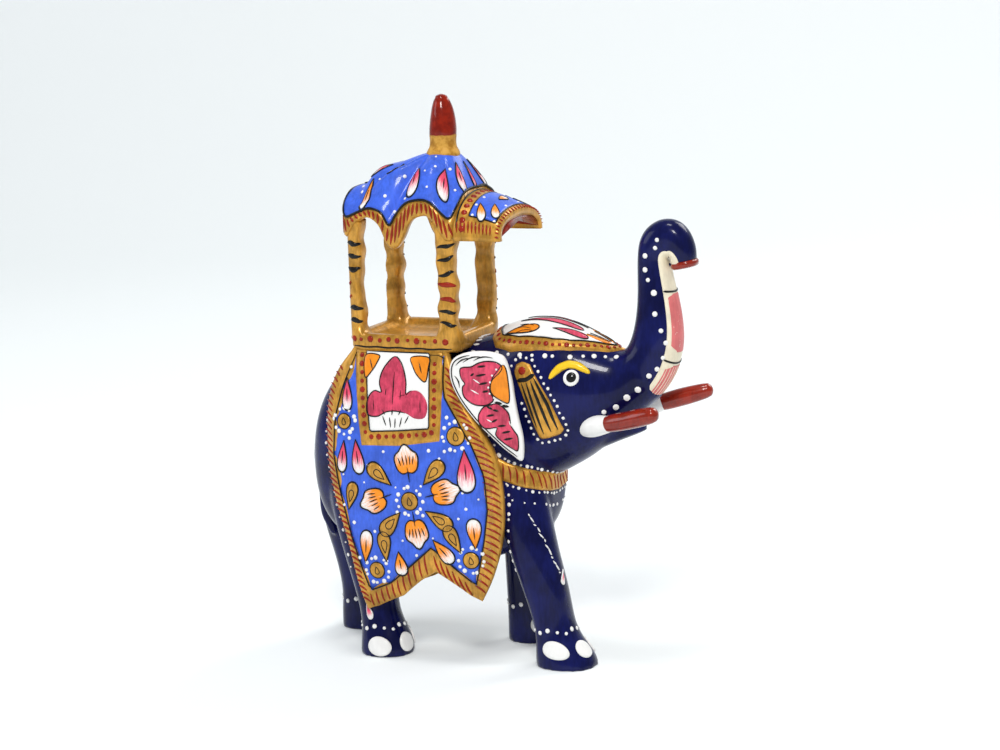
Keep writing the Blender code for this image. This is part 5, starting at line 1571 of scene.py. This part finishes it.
def paint_roof(coat):
    """Red strokes down the eave, a black line along its top, and petals and dots on the roof."""
    canvas, at, x, y = eave_canvas()
    length = at[-1]
    p = np.arange(0.4, length, 1.28)
    here_x, here_y = np.interp(p, at, x), np.interp(p, at, y)
    kept = ~((here_x > 8.0) & (np.abs(here_y) < 14.0))
    lean = np.where(np.abs(here_y) > 14, 0.5 * np.sin(here_x / 4.0), 0.0)[kept]
    p = p[kept]
    strokes(coat["stroke_red"], canvas, lines(*spans(p - lean, 0.16, p + lean, 0.80)),
        size("stroke") * 1.25, 0.22, taper=0.45)
    whole = np.linspace(0, length, 400)
    strokes(coat["black"], canvas, np.stack([whole, 0.01 * np.sin(whole)], 1), 0.62, 0.26, taper=0.01,
        closed_ends=1.0)
    top = felt_canvas(bpy.data.objects["canopy_roof"], (-24.4, -15.6), (9.6, 15.8), 0.4, 2, 150.0, 117.0)
    for sign in (RIGHT, LEFT):
        flip = -sign
        for (px, py), turn, wide, long, name in ROOF_PETALS:
            spot = (px, py * flip)
            turn = turn if sign == RIGHT else math.pi - turn
            outlined(coat, name, top, spot, teardrop(), 0.24, 0.42, 0.32, turn, (wide, long), 1.06, steps=5)
            way = np.array([-math.sin(turn), math.cos(turn)])
            strokes(coat["black"], lifted(top, 0.2),
                lines((np.array(spot) + way * long * 0.3, np.array(spot) - way * long * 0.35)), 0.45, 0.18)
        spots = np.array([(-4.9, -14.1), (-7, -9.4), (7.5, -9.6), (0.4, -5.4), (4.8, -6.4), (-11.2, -13.1),
            (-14.6, -8.9), (1.2, -13.4), (-19.6, -9.6), (-21, -6), (-0.6, -10.4), (1.6, -8.6),
            (-8.4, -13.4)])
        dots(coat["white"], top, spots * (1, flip), 0.42 + 0.12 * np.sin(np.arange(len(spots)) * 1.7), 0.26)
    for px, py, turn in ((-20.4, 0, 1.57), (-15.6, 5, 1.2), (-15.6, -5, 1.94), (8, 0, -1.57)):
        wide = (1.6, 2.8) if px < 0 else (1.3, 2.2)
        outlined(coat, "pink_petal", top, (px, py), teardrop(), 0.24, 0.42, 0.32, turn + math.pi, wide,
            1.06, steps=5)


AWNING_REAR, AWNING_FRONT, AWNING_HALF = 8.7, 21.8, 14.6
AWNING_SIDE, AWNING_CROWN, AWNING_FALL = 113.0, 124.9, 4.9
AWNING_WALL = 2.1


def awning_place(u, v, lift):
    """The awning: u from the roof to its front edge, v across from right to left. y = half * sin(bend) and
    z = side + rise * cos(bend) ** 0.75, with the crown falling forwards; lift is along the surface's way
    out."""
    u, v, lift = np.broadcast_arrays(*(np.asarray(value, float) for value in (u, v, lift)))
    bend = (2 * v - 1) * np.pi / 2
    crown = AWNING_CROWN - AWNING_FALL * u + 0.5 * np.sin(np.pi * u)
    rise = np.maximum(np.cos(bend), 0.0) ** 0.75
    flare = 0.35 * np.sin(u * np.pi)
    x = AWNING_REAR + (AWNING_FRONT - AWNING_REAR) * u
    out = unit(np.stack([0.3 * rise, np.sin(bend) * 1.2, rise + 0.02], -1))
    place = np.stack([x, (AWNING_HALF - flare) * np.sin(bend), AWNING_SIDE + (crown - AWNING_SIDE) * rise],
        -1)
    return place + out * lift[..., None]


def make_awning(coat):
    """The awning's shell and lining, its blue field and lines, dots, strokes and drops."""
    shell = painted("canopy_awning_shell", "gold")
    u = np.linspace(0, 1, 24)
    v = np.linspace(0.0, 1.0, 64)
    edge = np.minimum(1.0, (1 - u) / 0.06) ** 0.5
    slab(shell, awning_place(u[:, None], v[None], -0.7 * (1 - edge)[:, None] + 0 * v[None]),
        awning_place(u[:, None], v[None], -AWNING_WALL + 0 * (u[:, None] + v[None])))
    shell.finish("canopy_awning")
    lining = painted("canopy_awning_lining", "brick")
    band(lining, lambda u, v, lift: awning_place(u, v, -AWNING_WALL - 0.1 - lift), np.linspace(0.02, 0.97,
        20), 0.03, 0.97, columns=48, height=0.12, edge=0.01, sink=0.3)
    lining.finish()
    field_u = np.linspace(0.29, 0.86, 16)
    band(coat["blue"], awning_place, field_u, 0.17, 0.83, columns=40, height=0.14, edge=0.01)
    canvas = Canvas(awning_place)
    for u, side in ((0.29, 0.16), (0.87, 0.16), (0.06, 0.06)):
        strokes(coat["black"], canvas, [(u, k) for k in np.linspace(side, 1 - side, 40)], 0.5, 0.24,
            taper=0.03)
    for v in (0.165, 0.835):
        strokes(coat["black"], canvas, [(k, v) for k in np.linspace(0.29, 0.87, 20)], 0.5, 0.24, taper=0.05)
    v = np.linspace(0.06, 0.94, 15)
    dots(coat["stroke_red"], canvas, np.stack([np.full(15, 0.175), v], 1), 0.85, 0.26)
    v = np.linspace(0.03, 0.97, 25)
    strokes(coat["stroke_red"], canvas, lines(*spans(0.90, v, 0.99, v - 0.004)), 0.55, 0.22)
    for first, last in ((0.035, 0.125), (0.965, 0.875)):
        u = np.linspace(0.08, 0.80, 10)
        strokes(coat["stroke_red"], canvas, lines(*spans(u, first, u - 0.02, last)), 0.6, 0.22)
    flat = Canvas(lambda p, q, lift: awning_place((p - AWNING_REAR) / (AWNING_FRONT - AWNING_REAR),
        0.5 + np.arcsin(np.clip(q / AWNING_HALF, -1, 1)) / np.pi, lift))
    top = lifted(flat, 0.13)
    for x, y, wide, long in ((15.1, -10.6, 1.9, 2.7), (18.3, -8.6, 1.9, 2.9), (16.6, 0, 1.7, 2.2),
            (15.1, 10.6, 1.9, 2.7), (18.3, 8.6, 1.9, 2.9)):
        turn = 0.45 * np.sign(-y) + (math.pi if y < 0 else 0.0)
        outlined(coat, "orange_drop", top, (x, y), teardrop(), 0.2, 0.42, 0.28, turn + math.pi,
            (wide, long), 1.06, steps=5)
    dots(coat["white"], top, [(13.4, -12.4), (19.6, -12.4), (19.3, -4.0), (13.4, -4.6), (13.4, 4.6),
        (19.3, 4.0), (19.6, 12.4), (13.4, 12.4), (13.2, -9.2), (13.2, 9.2)], 0.42, 0.24)


FINIAL_PROFILE = ((150, 0.2), (149.8, 0.9), (148.9, 1.75), (147.2, 2.55), (145, 3.1), (142.6, 3.45),
    (140.2, 3.62), (139.2, 3.6), (137.4, 3.5), (136, 3.7), (134.9, 4.3), (134, 4.5), (132.6, 3.6))
RED_EDGE_Z = 139.3


def make_finial():
    """A whittled spike, a little out of round, on a flared foot: radius(z) from the profile."""
    piece = Piece("finial_spike", "red_enamel", finial_paint())
    z_knots = FINIAL_PROFILE[::-1]
    z = 132.6 + 17.4 * np.sin(np.linspace(0, np.pi / 2, 60)) ** 0.9
    angle = 2 * np.pi * np.arange(48) / 48
    radius = knots_at(z, z_knots)[:, None] * (1 + 0.03 * np.sin(3 * angle[None] + z[:, None] * 0.3))
    lean = 0.25 * np.sin((z - 132) / 18 * np.pi)[:, None]
    rings = np.stack([radius * np.cos(angle) + lean, radius * np.sin(angle), z[:, None] + 0 * radius], -1)
    piece.add(rings[None], (0, 0, 132.6), (0, 0, 150))
    piece.finish("finial")


def make_tusk(sign):
    """A white root that swells out of the cheek, and the red rod in it."""
    side = SIDE_NAMES[sign]
    for part, name, stations, nodes in (("root", "white", TUSK_ROOT, ()), ("rod", "brick", TUSK_ROD,
            (f"tusk_{side}",))):
        piece = painted(f"tusk_{side}_{part}", name)
        rod(piece, np.array(stations[sign]) * (1, sign, 1, 1), around=24)
        piece.finish(*nodes)


# ---------------- stage

CAMERA_PLACE = (0.32615, -0.71524, 0.21455)
CAMERA_TURN = (79.936, 2.101, 24.017)
LENS_MM, SENSOR_MM = 108.0, 36.0
# The sweep, in metres: its colour, half width, flat length, how far of it lies before the figure, the radius
# of its bend and the height of its wall; then the shares of the sheet that lie flat and bend, and its turn.
SWEEP_COLOUR = (0.785, 0.815, 0.82)
SWEEP_HALF, SWEEP_FLOOR, SWEEP_BEFORE, SWEEP_BEND, SWEEP_WALL = 2.4, 1.8, 1.0, 0.35, 1.3
SWEEP_FLAT, SWEEP_CURVE = 0.55, 0.2
SWEEP_TURN = math.radians(24.0)
AIR_COLOUR, AIR_STRENGTH = (0.90, 0.94, 1.0, 1.0), 0.34
LIGHTS_AIM = Vector((0.0, 0.0, 0.07))
# The lights: place in metres, watts, width in metres, tint.
LIGHTS = {
    "key": ((0.35, -0.80, 0.85), 8.2, 0.24, (1.0, 0.985, 0.96)),
    "fill": ((-0.9, -0.5, 0.5), 2.2, 0.5, (0.88, 0.92, 1.0)),
    "rim": ((0.35, 0.8, 0.75), 5.0, 0.5, (1.0, 0.98, 0.94)),
    "top": ((0.0, -0.1, 1.2), 3.6, 0.25, (1.0, 1.0, 1.0)),
}


def make_stage():
    """A pale sweep under and behind the figure, four soft lights, and the camera. The sweep is a flat floor,
    a quarter turn and a wall, one profile (depth, height) carried sideways."""
    v = np.linspace(0, 1, 60)
    bend = np.clip((v - SWEEP_FLAT) / SWEEP_CURVE, 0, 1) * np.pi / 2
    depth = np.minimum(v / SWEEP_FLAT, 1) * SWEEP_FLOOR + SWEEP_BEND * np.sin(bend) - SWEEP_BEFORE
    wall = np.clip((v - SWEEP_FLAT - SWEEP_CURVE) / (1 - SWEEP_FLAT - SWEEP_CURVE), 0, 1) * SWEEP_WALL
    height = SWEEP_BEND * (1 - np.cos(bend)) + wall
    across = np.linspace(-SWEEP_HALF, SWEEP_HALF, 30)[:, None]
    c, s = math.cos(SWEEP_TURN), math.sin(SWEEP_TURN)
    points = np.stack([across * c - depth * s, across * s + depth * c, height + 0 * across], -1)
    k = np.arange(points.size // 3).reshape(points.shape[:2])
    faces = np.stack([k[:-1, :-1], k[1:, :-1], k[1:, 1:], k[:-1, 1:]], -1).reshape(-1, 4)
    mesh = bpy.data.meshes.new("sweep")
    mesh.from_pydata(points.reshape(-1, 3).tolist(), [], faces.tolist())
    mesh.shade_smooth()
    mesh.materials.append(sweep_cloth("sweep_paper", SWEEP_COLOUR))
    put_in_scene("sweep", mesh)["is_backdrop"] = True

    world = bpy.data.worlds.new("studio_air")
    world.use_nodes = True
    background = world.node_tree.nodes["Background"]
    background.inputs["Color"].default_value = AIR_COLOUR
    background.inputs["Strength"].default_value = AIR_STRENGTH
    bpy.context.scene.world = world
    for name, (place, power, width, tint) in LIGHTS.items():
        light = bpy.data.lights.new(name, "AREA")
        light.energy, light.size, light.color = power, width, tint
        lamp = put_in_scene(name, light)
        lamp.location = place
        lamp.rotation_euler = (LIGHTS_AIM - Vector(place)).to_track_quat("-Z", "Y").to_euler()
    lens = bpy.data.cameras.new("camera")
    lens.lens, lens.sensor_width = LENS_MM, SENSOR_MM
    lens.clip_start = 0.01
    camera = put_in_scene("camera", lens)
    camera.location = CAMERA_PLACE
    camera.rotation_euler = tuple(math.radians(turn) for turn in CAMERA_TURN)
    bpy.context.scene.camera = camera
    bpy.context.scene.view_settings.view_transform = "Standard"


# ---------------- operators, panel and the run

class ELEPHANT_OT_skin(bpy.types.Operator):
    """Carve the elephant and lay on its navy enamel"""
    bl_idname = "elephant.skin"
    bl_label = "Carved skin"

    def execute(self, context):
        carve_skin()
        return {"FINISHED"}


class ELEPHANT_OT_head_paint(bpy.types.Operator):
    """Paint the cap, the eyes, the brows and the cheek bars"""
    bl_idname = "elephant.head_paint"
    bl_label = "Head paint"

    def execute(self, context):
        coat = Coat("head")
        paint_head(coat)
        coat.finish()
        return {"FINISHED"}


class ELEPHANT_OT_trunk_paint(bpy.types.Operator):
    """Paint the trunk's underside, its dots and its lip"""
    bl_idname = "elephant.trunk_paint"
    bl_label = "Trunk paint"

    def execute(self, context):
        coat = Coat("trunk")
        paint_trunk(coat)
        coat.finish()
        return {"FINISHED"}


class ELEPHANT_OT_tusks(bpy.types.Operator):
    """Make the tusks and their white roots"""
    bl_idname = "elephant.tusks"
    bl_label = "Tusks"

    def execute(self, context):
        for sign in (RIGHT, LEFT):
            make_tusk(sign)
        return {"FINISHED"}


class ELEPHANT_OT_ears(bpy.types.Operator):
    """Make and paint the ears"""
    bl_idname = "elephant.ears"
    bl_label = "Ears"

    def execute(self, context):
        for sign in (RIGHT, LEFT):
            make_ear(sign)
        return {"FINISHED"}


class ELEPHANT_OT_body_paint(bpy.types.Operator):
    """Paint the neck band, the legs, the toenails and the rows of dots"""
    bl_idname = "elephant.body_paint"
    bl_label = "Body paint"

    def execute(self, context):
        coat = Coat("body")
        paint_feet(coat)
        paint_neck_band(coat)
        paint_rump(coat)
        coat.finish()
        return {"FINISHED"}


class ELEPHANT_OT_cloths(bpy.types.Operator):
    """Make and paint the two side cloths"""
    bl_idname = "elephant.cloths"
    bl_label = "Side cloths"

    def execute(self, context):
        for sign in (RIGHT, LEFT):
            make_cloth(sign)
        return {"FINISHED"}


class ELEPHANT_OT_howdah(bpy.types.Operator):
    """Make the howdah's tray and posts and paint their marks"""
    bl_idname = "elephant.howdah"
    bl_label = "Howdah"

    def execute(self, context):
        make_howdah_frame()
        paint_howdah(Coat("howdah"))
        return {"FINISHED"}


class ELEPHANT_OT_canopy(bpy.types.Operator):
    """Make the roof, the eave and the awning and paint them"""
    bl_idname = "elephant.canopy"
    bl_label = "Canopy"

    def execute(self, context):
        make_roof()
        coat = Coat("canopy")
        paint_roof(coat)
        coat.finish()
        coat = Coat("awning")
        make_awning(coat)
        coat.finish()
        return {"FINISHED"}


class ELEPHANT_OT_finial(bpy.types.Operator):
    """Make the finial"""
    bl_idname = "elephant.finial"
    bl_label = "Finial"

    def execute(self, context):
        make_finial()
        return {"FINISHED"}


class ELEPHANT_OT_dowels(bpy.types.Operator):
    """Give the hidden dowels their wood"""
    bl_idname = "elephant.dowels"
    bl_label = "Dowels"

    def execute(self, context):
        wood = dowel_wood()
        for name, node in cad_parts.items():
            if "dowel" in name:
                node.data.materials.clear()
                node.data.materials.append(wood)
        return {"FINISHED"}


class ELEPHANT_OT_stage(bpy.types.Operator):
    """Lay the sweep, hang the lights and place the camera"""
    bl_idname = "elephant.stage"
    bl_label = "Stage"

    def execute(self, context):
        make_stage()
        return {"FINISHED"}


OPERATORS = (ELEPHANT_OT_skin, ELEPHANT_OT_head_paint, ELEPHANT_OT_trunk_paint, ELEPHANT_OT_tusks,
    ELEPHANT_OT_ears, ELEPHANT_OT_body_paint, ELEPHANT_OT_howdah, ELEPHANT_OT_cloths, ELEPHANT_OT_canopy,
    ELEPHANT_OT_finial, ELEPHANT_OT_dowels, ELEPHANT_OT_stage)


class ELEPHANT_PT_panel(bpy.types.Panel):
    """Lists the steps that make the painted elephant"""
    bl_idname = "ELEPHANT_PT_panel"
    bl_label = "Painted howdah elephant"
    bl_space_type = "VIEW_3D"
    bl_region_type = "UI"
    bl_category = "Elephant"

    def draw(self, context):
        for group in (context.scene.elephant_sizes, context.scene.elephant_colours):
            for name in group.bl_rna.properties.keys():
                if name not in {"rna_type", "name"}:
                    self.layout.prop(group, name)
        for operator in OPERATORS:
            self.layout.operator(operator.bl_idname)


CLASSES = (ElephantColours, ElephantSizes, *OPERATORS, ELEPHANT_PT_panel)


def register():
    for cls in CLASSES:
        bpy.utils.register_class(cls)
    bpy.types.Scene.elephant_colours = bpy.props.PointerProperty(type=ElephantColours)
    bpy.types.Scene.elephant_sizes = bpy.props.PointerProperty(type=ElephantSizes)


def unregister():
    del bpy.types.Scene.elephant_colours
    del bpy.types.Scene.elephant_sizes
    for cls in reversed(CLASSES):
        bpy.utils.unregister_class(cls)


def main():
    register()
    for operator in OPERATORS:
        group, name = operator.bl_idname.split(".")
        getattr(getattr(bpy.ops, group), name)()
    sizes = [[list(corner) for corner in box] for box in (CAD_BOX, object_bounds())]
    {"cad": sizes[0], "visual": sizes[1]}


if __name__ == "__main__":
    main()
